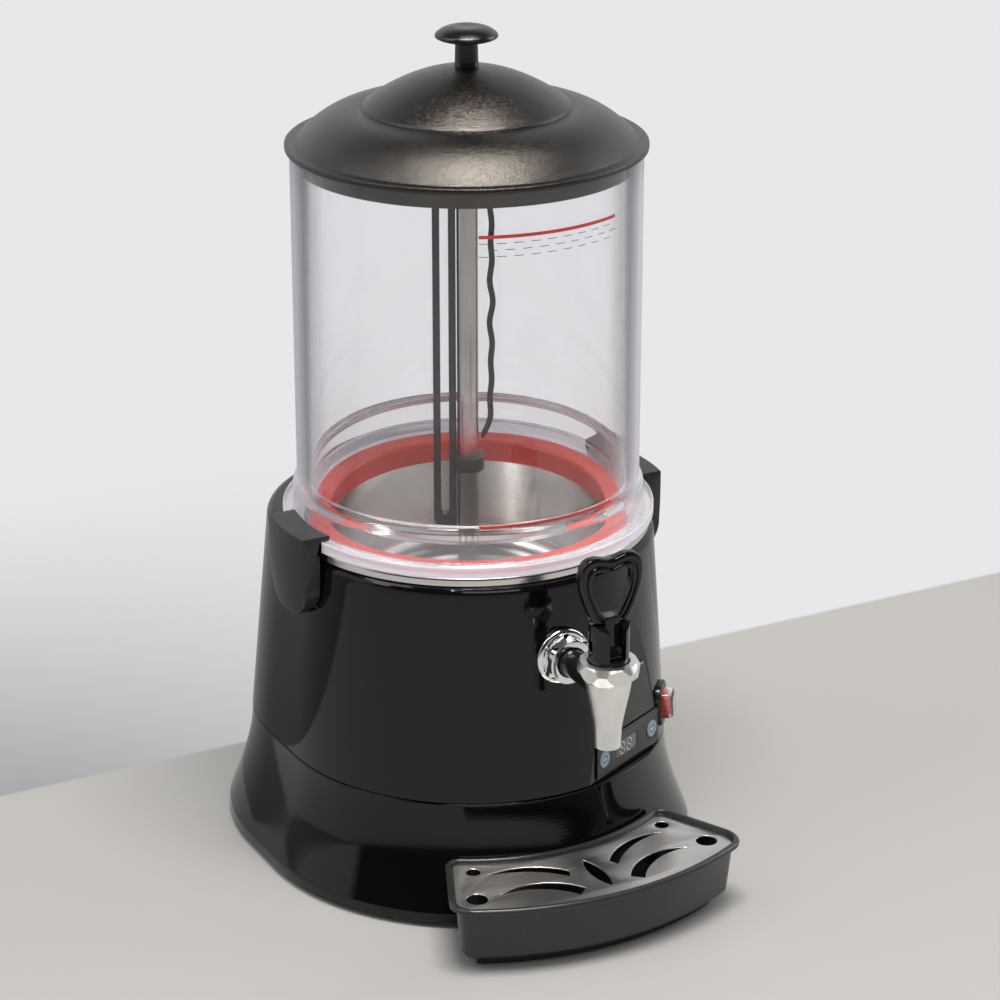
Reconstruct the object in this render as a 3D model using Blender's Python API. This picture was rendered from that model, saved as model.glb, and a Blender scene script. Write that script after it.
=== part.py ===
"""Hot chocolate dispenser of the 10 litre class, one object for each piece.

Metres, +Z up. The front faces -Y, and the origin is the middle of the footprint, on the counter.
Sizes across are measured from the bowl's axis, and heights from the counter.
"""

import math

import bmesh
import bpy
import numpy as np
from mathutils import Matrix, Vector

# Clearances
GAP = 0.0003
RUNNING_GAP = 0.0006
OVERRUN = 0.012

# Base shell, a flared skirt with a stadium plan
FOOT_HEIGHT = 0.0045
BASE_HALF_WIDTH = 0.151
BASE_HEIGHT = 0.078
BASE_LIP = 0.006
BASE_WALL = 0.003
LEDGE_WIDTH = 0.016
PLAN_FRONT = -0.004
PLAN_REAR = 0.041

# Tank, water bath and heater
TANK_RADIUS = 0.0975
TANK_DEPTH = 0.062
TANK_RIM_WIDTH = 0.0255
TANK_RIM_HEIGHT = 0.006
TANK_SHEET = 0.0012
TANK_CORNER = 0.014
BATH_SPACE = 0.008
BATH_DEPTH = 0.016
BATH_SHEET = 0.001
BATH_FLANGE = 0.005
HEATER_INNER = 0.040
HEATER_OUTER = 0.072
HEATER_THICKNESS = 0.006
PROBE_RADIUS = 0.003
PROBE_LENGTH = 0.030
PROBE_HEAD = 0.007

# Upper housing: its deck ends at the tank's rim, and it widens down to the seam
HOUSING_HEIGHT = 0.149
HOUSING_TAPER = 0.010
DECK_PLAN_REAR = 0.031
HOUSING_WALL = 0.003
DECK_EDGE_RADIUS = 0.005
FACET_CUT = 0.0035
FACET_ANGLE = math.radians(27)

# Bowl and gasket
BOWL_STEP = 0.0175
BOWL_WALL = 0.004
BOWL_HEIGHT = 0.252
FLANGE_OVERHANG = 0.002
FLANGE_THICKNESS = 0.008
FLANGE_EDGE = 0.0012
SOCKET_WALL = 0.003
SOCKET_HEIGHT = 0.0225
SOCKET_LEDGE = 0.011
SOCKET_CHAMFER = 0.005
SOCKET_DEPTH = 0.030
GASKET_THICKNESS = 0.0024
GASKET_WIDTH = 0.0125
GASKET_DROP = 0.0125
GASKET_LIP_EDGE = 0.001

# Lid and knob
LID_OVERHANG = 0.0032
LID_EDGE = 0.004
LID_ROUNDING = 0.001
LID_RIM_WIDTH = 0.006
LID_WALL = 0.0025
LID_RISE = 0.0235
LID_SHOULDER_WIDTH = 0.0502
LID_DOME_RISE = 0.025
LID_STEP = 0.0012
LID_SKIRT_DEPTH = 0.0105
KNOB_RADIUS = 0.0207
KNOB_DISC_HEIGHT = 0.013
KNOB_STEM_RADIUS = 0.0076
KNOB_STEM_HEIGHT = 0.0145
LID_SCREW_RADIUS = 0.002
LID_SCREW_HEAD = 0.0045
LID_SCREW_HEAD_HEIGHT = 0.003
LID_SCREW_REACH = 0.009

# Centre tube, drive and stirrer
TUBE_RADIUS = 0.0073
TUBE_WALL = 0.001
TUBE_HEIGHT = 0.232
TUBE_FOOT = 0.003
SHAFT_RADIUS = 0.003
COUPLING_RADIUS = 0.008
COUPLING_HEIGHT = 0.0115
HUB_RADIUS = 0.0125
HUB_HEIGHT = 0.018
HUB_TOP = 0.006
HUB_EDGE = 0.0025
STIRRER_ANGLE = math.radians(-27.5)
STIRRER_REACH = 0.0236
STIRRER_BAR = 0.005
STIRRER_THICKNESS = 0.006
STIRRER_GROUND_GAP = 0.0505
STIRRER_SLOT_END = 0.027
PADDLE_CORNER = 0.007
ARM_HEIGHT = 0.010
ARM_NOTCH_DROP = 0.001
COLLAR_HEIGHT = 0.010
COLLAR_WALL = 0.0032
COLLAR_LIFT = 0.092
STRIP_WAVE = 0.0012
STRIP_WAVE_LENGTH = 0.034
STRIP_END_LIFT = 0.113
STRIP_WIDTH = 0.0046
STRIP_PLACE = 0.0133

# Gearmotor, bracket, base plate and electrics
GEARBOX_WIDTH = 0.062
GEARBOX_DEPTH = 0.050
GEARBOX_HEIGHT = 0.026
GEARBOX_CORNER = 0.0043
MOTOR_RADIUS = 0.021
MOTOR_HEIGHT = 0.044
MOTOR_EDGE = 0.003
BRACKET_SHEET = 0.0015
BRACKET_SPAN = 0.112
BRACKET_WIDTH = 0.046
BRACKET_FOOT = 0.014
BASE_PLATE_SHEET = 0.0015
FOOT_RADIUS = 0.010
FOOT_EDGE = 0.0015
FOOT_INSET = 0.053
BOARD_WIDTH = 0.066
BOARD_HEIGHT = 0.024
BOARD_SHEET = 0.0016
BOARD_POST_RADIUS = 0.003
BOARD_POST_SPREAD = 0.019
BOARD_STAND_OFF = 0.007
TERMINAL_LENGTH = 0.036
TERMINAL_WIDTH = 0.020
TERMINAL_HEIGHT = 0.016
TERMINAL_GROOVE = 0.0022
TERMINAL_PLACE_X = 0.075
TERMINAL_PLACE_Y = 0.095
GLAND_RADIUS = 0.0095
GLAND_THROAT = 0.0076
GLAND_BORE = 0.0038
GLAND_RISE = 0.0215
GLAND_NUT = 0.007
GLAND_CAP = 0.006
GLAND_SHOULDER = 0.001
GLAND_ROUNDING = 0.0025

# Tap
TAP_DROP = 0.051
TAP_STAND_OFF = 0.0471
ESCUTCHEON_RADIUS = 0.019
ESCUTCHEON_THICKNESS = 0.0045
ESCUTCHEON_EDGE = 0.0011
TAP_NUT_FLATS = 0.030
TAP_NUT_THICKNESS = 0.009
TAP_NUT_CHAMFER = 0.0036
SHANK_RADIUS = 0.0095
SHANK_BORE = 0.006
TAP_COLLAR_RISE = 0.021
TAP_COLLAR_HEIGHT = 0.013
TAP_COLLAR_FLATS = 0.0379
TAP_COLLAR_WIDEST = 0.041
TAP_COLLAR_TURN = math.radians(-11)
TAP_COLLAR_CHAMFER = 0.0008
TAP_CONE_TOP = 0.014
TAP_CONE_FOOT = 0.00855
TAP_SPOUT_DROP = 0.039
SPOUT_BORE = 0.0064
CHAMBER_RADIUS = 0.0092
SEAT_DROP = 0.012
BONNET_RADIUS = 0.0131
BONNET_SINK = 0.0105
PIN_RISE = 0.029
PIN_RADIUS = 0.0016
CRADLE_RADIUS = 0.0185
SLOT_WIDTH = 0.0116
STEM_RADIUS = 0.0024
STEM_HEAD_RADIUS = 0.004
PLUG_RADIUS = 0.0080
PLUG_HEIGHT = 0.006
LEVER_TILT = math.radians(35)
HEEL_RADIUS = 0.005
HEEL_TOE = 0.009
HEART_HALF_WIDTH = 0.0225
HEART_HEIGHT = 0.045
HEART_THICKNESS = 0.008
HEART_RING = 0.0078

# Control facet
PANEL_WIDTH = 0.074
PANEL_HEIGHT = 0.0255
PANEL_SHEET = 0.0012
WINDOW_WIDTH = 0.0245
WINDOW_HEIGHT = 0.0115
WINDOW_OFFSET = -0.003
WINDOW_PROUD = 0.0004
BUTTON_RADIUS = 0.006
BUTTON_SPREAD = 0.029
BUTTON_PROUD = 0.0006
BUTTON_TRAVEL = 0.0006
BUTTON_STEM = 0.002
BADGE_HEIGHT = 0.040
BADGE_FOOT_WIDTH = 0.064
BADGE_TOP_WIDTH = 0.038
BADGE_SHEET = 0.0008
FACET_MARGIN = 0.002

# Rocker switch
SWITCH_ANGLE = math.radians(50)
SWITCH_RISE = 0.024
BEZEL_HEIGHT = 0.033
BEZEL_WIDTH = 0.027
BEZEL_THICKNESS = 0.003
BEZEL_CORNER = 0.005
SWITCH_WALL = 0.003
SWITCH_DEPTH = 0.016
SWITCH_COVER_PROUD = 0.008
SWITCH_COVER_WALL = 0.0008
ROCKER_HEIGHT = 0.0045

# Bowl clips
CLIP_WIDTH = 0.054
CLIP_DEPTH = 0.013
CLIP_LIP_HOLD = 0.0085
CLIP_LIP_THICKNESS = 0.003
CLIP_CHEEK = 0.006
CLIP_WALL = 0.003
CLIP_EDGE = 0.001
CLIP_CORNER = 0.0216
CLIP_PIN_STAND_OFF = 0.006
CLIP_PIN_DROP = 0.037
CLIP_PIN_RADIUS = 0.0015
CLIP_TAIL_RADIUS = 0.005
CLIP_LUG_RADIUS = 0.003
CLIP_LUG_INSET = 0.0015

# Drip tray and grid
TRAY_DEPTH = 0.0738
TRAY_STAND_OFF = 0.0007
TRAY_SIDE_ANGLE = math.radians(24.5)
TRAY_SIDE_HALF = 0.0265
TRAY_TOP = 0.048
TRAY_GROUND_GAP = 0.0085
TRAY_RIM_WIDTH = 0.0045
TRAY_RIM_DEPTH = 0.004
TRAY_DRAFT = 0.0035
TRAY_WALL = 0.0022
TRAY_PLINTH_INSET = 0.010
TRAY_OUTER_CORNER = 0.017
TRAY_INNER_CORNER = 0.010
TRAY_LEAST_CORNER = 0.003
GRID_SHEET = 0.0012
GRID_SINK = 0.003
GRID_LEDGE = 0.004
GRID_HOLE_RADIUS = 0.0048
GRID_FRONT_HOLE_RADIUS = 0.007
GRID_HALF_ANGLE = math.radians(29)

# Curves drawn in steps
ROUND_STEPS = 40
SMALL_STEPS = 16
ARC_STEPS = 16
CORNER_STEPS = 4
FLARE_STEPS = 6
STRIP_STEPS = 40
TRAY_ARC_STEPS = 6
GRID_ARC_STEPS = 7
HEX_SIDES = 6

# Widths worked out from the tank's radius outwards
TANK_RIM_RADIUS = TANK_RADIUS + TANK_RIM_WIDTH
BATH_RADIUS = TANK_RADIUS + TANK_SHEET + BATH_SPACE
DECK_HALF_WIDTH = TANK_RIM_RADIUS
SEAM_HALF_WIDTH = DECK_HALF_WIDTH + HOUSING_TAPER
FACET_DISTANCE = SEAM_HALF_WIDTH - FACET_CUT
BOWL_RADIUS = TANK_RADIUS + BOWL_STEP
BOWL_BORE = BOWL_RADIUS - BOWL_WALL
FLANGE_RADIUS = TANK_RIM_RADIUS + FLANGE_OVERHANG
SOCKET_RADIUS = BOWL_RADIUS + SOCKET_WALL
SOCKET_BORE = TANK_RADIUS + SOCKET_LEDGE
LID_RADIUS = BOWL_RADIUS + LID_OVERHANG
LID_DOME_RADIUS = LID_RADIUS - LID_SHOULDER_WIDTH
CLIP_TOP_REACH = FLANGE_RADIUS + CLIP_DEPTH
CLIP_LIP_INNER = FLANGE_RADIUS - CLIP_LIP_HOLD
FOOT_SPREAD = BASE_HALF_WIDTH - FOOT_INSET

# Heights worked out from the counter up
SEAM_Z = FOOT_HEIGHT + BASE_HEIGHT
DECK_Z = SEAM_Z + HOUSING_HEIGHT
TANK_RIM_Z = DECK_Z + TANK_RIM_HEIGHT
TANK_FLOOR_Z = DECK_Z - TANK_DEPTH
FLANGE_Z = TANK_RIM_Z + GAP
FLANGE_TOP_Z = FLANGE_Z + FLANGE_THICKNESS
BOWL_TOP_Z = FLANGE_Z + BOWL_HEIGHT
LID_Z = BOWL_TOP_Z + GAP
LID_RIM_Z = LID_Z + LID_EDGE
LID_DOME_Z = LID_RIM_Z + LID_RISE
LID_TOP_Z = LID_DOME_Z + LID_DOME_RISE
TAP_Z = DECK_Z - TAP_DROP
TUBE_TOP_Z = TANK_RIM_Z + TUBE_HEIGHT
BATH_FLOOR_Z = TANK_FLOOR_Z - TANK_SHEET - BATH_DEPTH
PROBE_Z = BATH_FLOOR_Z + BATH_DEPTH / 2
TUBE_FOOT_Z = BATH_FLOOR_Z - BATH_SHEET - TUBE_FOOT
COUPLING_TOP = TUBE_FOOT_Z - RUNNING_GAP
COUPLING_LOW = COUPLING_TOP - COUPLING_HEIGHT
BRACKET_TOP = COUPLING_LOW - RUNNING_GAP
SHAFT_LOW = COUPLING_LOW + COUPLING_HEIGHT / 2 + GAP
SHAFT_TOP = TUBE_TOP_Z + HUB_TOP / 2
HUB_LOW = TUBE_TOP_Z + HUB_TOP - HUB_HEIGHT
ARM_Z = HUB_LOW + HUB_HEIGHT / 2
ARM_NOTCH_Z = ARM_Z - ARM_NOTCH_DROP
STIRRER_LOW = TANK_FLOOR_Z + STIRRER_GROUND_GAP
STIRRER_INNER = TUBE_RADIUS + RUNNING_GAP
PANEL_Z = SEAM_Z + FACET_MARGIN + PANEL_HEIGHT / 2
SWITCH_Z = SEAM_Z + SWITCH_RISE
GLAND_Z = SEAM_Z + GLAND_RISE
PIN_Z = TAP_Z + PIN_RISE
COLLAR_TOP_Z = TAP_Z + TAP_COLLAR_RISE
SEAT_Z = TAP_Z - SEAT_DROP
SPOUT_Z = TAP_Z - TAP_SPOUT_DROP
CLIP_PIN_Z = DECK_Z - CLIP_PIN_DROP


def flare(height):
    """The base's half width at a height above its rim: upright at the rim and at the seam."""
    share = max(0, height - BASE_LIP) / (BASE_HEIGHT - BASE_LIP)
    return BASE_HALF_WIDTH - (BASE_HALF_WIDTH - SEAM_HALF_WIDTH) * math.sin(share * math.pi / 2)


def housing_half_width(z):
    share = (z - SEAM_Z) / HOUSING_HEIGHT
    return SEAM_HALF_WIDTH + (DECK_HALF_WIDTH - SEAM_HALF_WIDTH) * share


# Reaches to the front and sides that follow the casing's faces
SHANK_START = TANK_RADIUS + TANK_SHEET + GAP
HOUSING_FACE = housing_half_width(TAP_Z) - PLAN_FRONT
TAP_REACH = HOUSING_FACE + ESCUTCHEON_THICKNESS + TAP_NUT_THICKNESS + TAP_STAND_OFF
CLIP_PIN_REACH = housing_half_width(CLIP_PIN_Z) + CLIP_PIN_STAND_OFF
BASE_AT_TRAY = flare(TRAY_TOP - TRAY_RIM_DEPTH - FOOT_HEIGHT)
TRAY_INNER = BASE_AT_TRAY - PLAN_FRONT + TRAY_STAND_OFF
TRAY_OUTER = TRAY_INNER + TRAY_DEPTH
TRAY_REAR_DRAFT = BASE_HALF_WIDTH - BASE_AT_TRAY
AXIS_Y = (TRAY_OUTER - PLAN_REAR - BASE_HALF_WIDTH) / 2

FINISHES = {
    "lid_black": ((0.030, 0.028, 0.026), 0.0, 0.42),
    "black_gloss": ((0.012, 0.012, 0.014), 0.0, 0.12),
    "black_satin": ((0.022, 0.022, 0.023), 0.0, 0.40),
    "clear_plastic": ((0.90, 0.92, 0.94), 0.0, 0.04),
    "red_silicone": ((0.62, 0.035, 0.025), 0.0, 0.45),
    "steel": ((0.62, 0.61, 0.59), 1.0, 0.28),
    "chrome": ((0.78, 0.79, 0.80), 1.0, 0.06),
    "satin_steel": ((0.66, 0.66, 0.66), 1.0, 0.34),
    "smoke_plastic": ((0.018, 0.019, 0.022), 0.0, 0.30),
    "red_plastic": ((0.60, 0.02, 0.02), 0.0, 0.25),
    "panel_grey": ((0.055, 0.057, 0.060), 0.0, 0.35),
    "button_blue": ((0.30, 0.42, 0.52), 0.0, 0.30),
    "rubber": ((0.015, 0.015, 0.015), 0.0, 0.80),
    "zinc": ((0.55, 0.56, 0.57), 1.0, 0.42),
    "board_green": ((0.02, 0.16, 0.07), 0.0, 0.50),
    "motor_grey": ((0.22, 0.23, 0.24), 0.6, 0.45),
}


def clear_scene():
    for old in list(bpy.data.objects):
        bpy.data.objects.remove(old, do_unlink=True)


def finish(name):
    """The Principled BSDF material of this name, made once."""
    found = bpy.data.materials.get(name)
    if found:
        return found
    color, metallic, roughness = FINISHES[name]
    material = bpy.data.materials.new(name)
    material.use_nodes = True
    shader = material.node_tree.nodes["Principled BSDF"]
    shader.inputs["Base Color"].default_value = (*color, 1)
    shader.inputs["Metallic"].default_value = metallic
    shader.inputs["Roughness"].default_value = roughness
    if name == "clear_plastic":
        shader.inputs["Transmission Weight"].default_value = 1
    return material


# Shapes: each function gives a bmesh in the machine's own axes, with the bowl's axis at x = y = 0


def mesh_of(points, faces):
    bm = bmesh.new()
    corners = [bm.verts.new(point) for point in points]
    for face in faces:
        bm.faces.new([corners[i] for i in face])
    bmesh.ops.recalc_face_normals(bm, faces=bm.faces)
    return bm


def loft(loops, ends="cap"):
    """A solid through loops of equal length. Its ends are capped, or joined to each other."""
    count = len(loops[0])
    points = [point for loop in loops for point in loop]
    faces = []
    rows = len(loops) if ends == "join" else len(loops) - 1
    for row in range(rows):
        here = row * count
        there = (row + 1) % len(loops) * count
        for i in range(count):
            j = (i + 1) % count
            faces.append((here + i, here + j, there + j, there + i))
    if ends == "cap":
        faces.append(tuple(range(count)))
        faces.append(tuple((len(loops) - 1) * count + i for i in range(count)))
    return mesh_of(points, faces)


def circle(radius, z, steps, middle=(0, 0)):
    turns = [2 * math.pi * i / steps for i in range(steps)]
    return [(middle[0] + radius * math.cos(t), middle[1] + radius * math.sin(t), z) for t in turns]


def turned(profile, steps=ROUND_STEPS):
    """A ring turned round Z from a closed (radius, z) outline that keeps off the axis."""
    return loft([circle(radius, z, steps) for radius, z in profile], ends="join")


def turned_solid(profile, steps=SMALL_STEPS):
    """A solid turned round Z from (radius, z) points, from its lowest edge to its highest."""
    return loft([circle(radius, z, steps) for radius, z in profile])


def prism(outline, low, high):
    """An outline of (x, y) points carried up from low to high."""
    return loft([[(x, y, z) for x, y in outline] for z in (low, high)])


def block(size, middle=(0, 0, 0)):
    bm = bmesh.new()
    bmesh.ops.create_cube(bm, size=1)
    bmesh.ops.scale(bm, vec=size, verts=bm.verts)
    bmesh.ops.translate(bm, vec=middle, verts=bm.verts)
    return bm


def polygon(flats, sides=HEX_SIDES):
    """The corners of a regular polygon of this width across its flats."""
    radius = flats / 2 / math.cos(math.pi / sides)
    turns = [2 * math.pi * (i + 0.5) / sides for i in range(sides)]
    return [(radius * math.cos(t), radius * math.sin(t)) for t in turns]


def rounded_rectangle(width, height, corner, steps=CORNER_STEPS):
    """A rectangle's outline with its corners rounded, about its middle."""
    points = []
    for quarter, (sx, sy) in enumerate([(1, 1), (-1, 1), (-1, -1), (1, -1)]):
        for step in range(steps + 1):
            turn = (quarter + step / steps) * math.pi / 2
            x = sx * (width / 2 - corner) + corner * math.cos(turn)
            y = sy * (height / 2 - corner) + corner * math.sin(turn)
            points.append((x, y))
    return points


def turn_to(bm, direction, place):
    """Turns a shape made along Z until it points this way, then moves it to its place."""
    turn = Vector((0, 0, 1)).rotation_difference(Vector(direction)).to_matrix().to_4x4()
    bmesh.ops.transform(bm, matrix=Matrix.Translation(place) @ turn, verts=bm.verts)
    return bm


def along_y(bm, place=(0, 0, 0)):
    """Lays an outline drawn in (x, z) into place: its thickness runs along Y."""
    bmesh.ops.rotate(bm, cent=(0, 0, 0), matrix=Matrix.Rotation(math.pi / 2, 3, "X"), verts=bm.verts)
    bmesh.ops.translate(bm, vec=place, verts=bm.verts)
    return bm


def along_x(bm, place=(0, 0, 0)):
    """Lays an outline drawn in (y, z) into place: its thickness runs along X."""
    swap = Matrix(((0, 0, 1, 0), (1, 0, 0, 0), (0, 1, 0, 0), (0, 0, 0, 1)))
    bmesh.ops.transform(bm, matrix=Matrix.Translation(place) @ swap, verts=bm.verts)
    return bm


def rod(radius, start, end, steps=SMALL_STEPS):
    start = Vector(start)
    run = Vector(end) - start
    return turn_to(turned_solid([(radius, 0), (radius, run.length)], steps), run.normalized(), start)


def combined(base, others, operation):
    """The shape after Boolean steps with each of the others."""
    work = bpy.data.objects.new("work", bpy.data.meshes.new("work"))
    base.to_mesh(work.data)
    bpy.context.collection.objects.link(work)
    helpers = []
    for other in others:
        helper = bpy.data.objects.new("helper", bpy.data.meshes.new("helper"))
        other.to_mesh(helper.data)
        bpy.context.collection.objects.link(helper)
        step = work.modifiers.new("step", "BOOLEAN")
        step.operation = operation
        step.object = helper
        helpers.append(helper)
    bpy.context.view_layer.update()
    graph = bpy.context.evaluated_depsgraph_get()
    result = bmesh.new()
    result.from_mesh(bpy.data.meshes.new_from_object(work.evaluated_get(graph)))
    for spent in [work, *helpers]:
        bpy.data.objects.remove(spent, do_unlink=True)
    return result


def cut(base, *others):
    return combined(base, others, "DIFFERENCE")


def joined(base, *others):
    return combined(base, others, "UNION")


MACHINE = None


def piece(name, bm, finish_name, origin=(0, 0, 0)):
    """Makes the object, with its origin at a joint's place in the machine's axes."""
    bmesh.ops.translate(bm, vec=-Vector(origin), verts=bm.verts)
    mesh = bpy.data.meshes.new(name)
    bm.to_mesh(mesh)
    bm.free()
    mesh.shade_smooth()
    mesh.set_sharp_from_angle(angle=math.radians(32))
    mesh.materials.append(finish(finish_name))
    made = bpy.data.objects.new(name, mesh)
    made.location = origin
    made.parent = MACHINE
    bpy.context.collection.objects.link(made)
    return made


# Base and housing


def stadium(half_width, front, rear, z):
    """The plan of the casing: a half circle about each of two middles, joined by straight sides."""
    points = []
    for i in range(ARC_STEPS + 1):
        turn = math.pi + math.pi * i / ARC_STEPS
        points.append((half_width * math.cos(turn), front + half_width * math.sin(turn), z))
    for i in range(ARC_STEPS + 1):
        turn = math.pi * i / ARC_STEPS
        points.append((half_width * math.cos(turn), rear + half_width * math.sin(turn), z))
    return points


def housing_rear(z):
    share = (z - SEAM_Z) / HOUSING_HEIGHT
    return PLAN_REAR + (DECK_PLAN_REAR - PLAN_REAR) * share


def base_shell():
    """A flared skirt with an inward ledge at its top, which the upper housing stands on."""
    rim_z = FOOT_HEIGHT
    rise = (BASE_HEIGHT - BASE_LIP) / FLARE_STEPS
    heights = [0] + [BASE_LIP + rise * k for k in range(FLARE_STEPS + 1)]
    loops = []
    for height in heights:
        loops.append(stadium(flare(height), PLAN_FRONT, PLAN_REAR, rim_z + height))
    inner_edge = SEAM_HALF_WIDTH - LEDGE_WIDTH
    loops.append(stadium(inner_edge, PLAN_FRONT, PLAN_REAR, SEAM_Z))
    loops.append(stadium(inner_edge, PLAN_FRONT, PLAN_REAR, SEAM_Z - BASE_WALL))
    for height in reversed(heights):
        inside = min(height, BASE_HEIGHT - BASE_WALL)
        width = flare(inside) - BASE_WALL
        loops.append(stadium(width, PLAN_FRONT, PLAN_REAR, rim_z + inside))
    piece("base_shell", loft(loops, ends="join"), "black_gloss")


def housing_solid(grown, low, high):
    """The housing's outer form, grown by this much, with the flat facet cut at its front right."""
    loops = []
    rounding = DECK_EDGE_RADIUS
    for z in np.linspace(low, high - rounding, CORNER_STEPS + 1):
        loops.append(stadium(housing_half_width(z) + grown, PLAN_FRONT, housing_rear(z), z))
    for k in range(1, CORNER_STEPS + 1):
        turn = k / CORNER_STEPS * math.pi / 2
        z = high - rounding + rounding * math.sin(turn)
        inset = rounding * (1 - math.cos(turn))
        loops.append(stadium(housing_half_width(z) + grown - inset, PLAN_FRONT, housing_rear(z), z))
    side = 2 * BASE_HALF_WIDTH
    beyond = block((side, side, 2 * DECK_Z), (0, -side / 2 - FACET_DISTANCE - grown, DECK_Z / 2))
    bmesh.ops.rotate(beyond, cent=(0, 0, 0), matrix=Matrix.Rotation(FACET_ANGLE, 3, "Z"), verts=beyond.verts)
    return cut(loft(loops), beyond)


def facet_place(across, z, out):
    """A point on the facet: across to the right of its middle, at height z, out from its face."""
    distance = FACET_DISTANCE + out
    x = across * math.cos(FACET_ANGLE) + distance * math.sin(FACET_ANGLE)
    y = across * math.sin(FACET_ANGLE) - distance * math.cos(FACET_ANGLE)
    return Vector((x, y, z))


def on_facet(outline, back, front):
    """A plate drawn in (across, z) on the facet, from back to front measured out from its face."""
    plate = prism([(x, z) for x, z in outline], -front, -back)
    along_y(plate)
    bmesh.ops.scale(plate, vec=(1, -1, 1), verts=plate.verts)
    bmesh.ops.reverse_faces(plate, faces=plate.faces)
    bmesh.ops.translate(plate, vec=(0, -FACET_DISTANCE, 0), verts=plate.verts)
    bmesh.ops.rotate(plate, cent=(0, 0, 0), matrix=Matrix.Rotation(FACET_ANGLE, 3, "Z"), verts=plate.verts)
    bmesh.ops.recalc_face_normals(plate, faces=plate.faces)
    return plate


def facet_rod(radius, across, z, back, front):
    return rod(radius, facet_place(across, z, back), facet_place(across, z, front))



def switch_frame():
    """The place and outward direction of the switch on the housing's curved front."""
    half_width = housing_half_width(SWITCH_Z)
    lean = HOUSING_TAPER / HOUSING_HEIGHT
    out = Vector((math.sin(SWITCH_ANGLE), -math.cos(SWITCH_ANGLE), lean)).normalized()
    place = Vector((half_width * math.sin(SWITCH_ANGLE), PLAN_FRONT - half_width * math.cos(SWITCH_ANGLE), SWITCH_Z))
    return place, out


def on_switch(bm):
    """Moves a shape drawn with x across, y up and z outward onto the switch's place."""
    place, out = switch_frame()
    across = Vector((0, 0, 1)).cross(out).normalized()
    up = out.cross(across)
    turn = Matrix((across, up, out)).transposed().to_4x4()
    bmesh.ops.transform(bm, matrix=Matrix.Translation(place) @ turn, verts=bm.verts)
    return bm


def gland_frame():
    out = Vector((0, 1, 0))
    return Vector((0, housing_rear(GLAND_Z), GLAND_Z)) + out * housing_half_width(GLAND_Z), out


def upper_housing():
    """A moulded shell with a deck that the tank hangs in, holes for the tap, switch, buttons and cord."""
    low = SEAM_Z + GAP
    outer = housing_solid(0, low, DECK_Z)
    inner = housing_solid(-HOUSING_WALL, low - OVERRUN, DECK_Z - HOUSING_WALL)
    shell = cut(outer, inner)
    posts = []
    for side in (-1, 1):
        across = side * BOARD_POST_SPREAD
        posts.append(facet_rod(BOARD_POST_RADIUS, across, PANEL_Z, -BOARD_STAND_OFF, -HOUSING_WALL / 2))
    shell = joined(shell, *posts)
    hole = rod(TANK_RADIUS + TANK_SHEET + GAP, (0, 0, DECK_Z - OVERRUN), (0, 0, DECK_Z + OVERRUN), ROUND_STEPS)
    tap_hole = rod(SHANK_RADIUS + GAP, (0, 0, TAP_Z), (0, -HOUSING_FACE - OVERRUN, TAP_Z))
    switch_hole = on_switch(block((BEZEL_WIDTH - 2 * SWITCH_WALL, BEZEL_HEIGHT - 2 * SWITCH_WALL, 2 * OVERRUN)))
    place, out = gland_frame()
    gland_hole = rod(GLAND_THROAT + GAP, place - out * OVERRUN, place + out * OVERRUN)
    stems = []
    for side in (-1, 1):
        stems.append(facet_rod(BUTTON_STEM + RUNNING_GAP, side * BUTTON_SPREAD, PANEL_Z, -OVERRUN, OVERRUN))
    piece("upper_housing", cut(shell, hole, tap_hole, switch_hole, gland_hole, *stems), "black_gloss")


def base_plate_and_feet():
    inside = BASE_HALF_WIDTH - BASE_WALL - GAP
    low = FOOT_HEIGHT + GAP
    loops = [stadium(inside, PLAN_FRONT, PLAN_REAR, z) for z in (low, low + BASE_PLATE_SHEET)]
    piece("base_plate", loft(loops), "zinc")
    names = iter(("front_left", "front_right", "rear_left", "rear_right"))
    for y in (PLAN_FRONT - FOOT_SPREAD / 2, PLAN_REAR + FOOT_SPREAD / 2):
        for side in (-1, 1):
            profile = [(FOOT_RADIUS - FOOT_EDGE, 0), (FOOT_RADIUS, FOOT_EDGE), (FOOT_RADIUS, FOOT_HEIGHT)]
            foot = turned_solid(profile)
            bmesh.ops.translate(foot, vec=(side * FOOT_SPREAD, y, 0), verts=foot.verts)
            piece("foot_" + next(names), foot, "rubber")


# Tank, water bath, tube and drive


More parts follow.
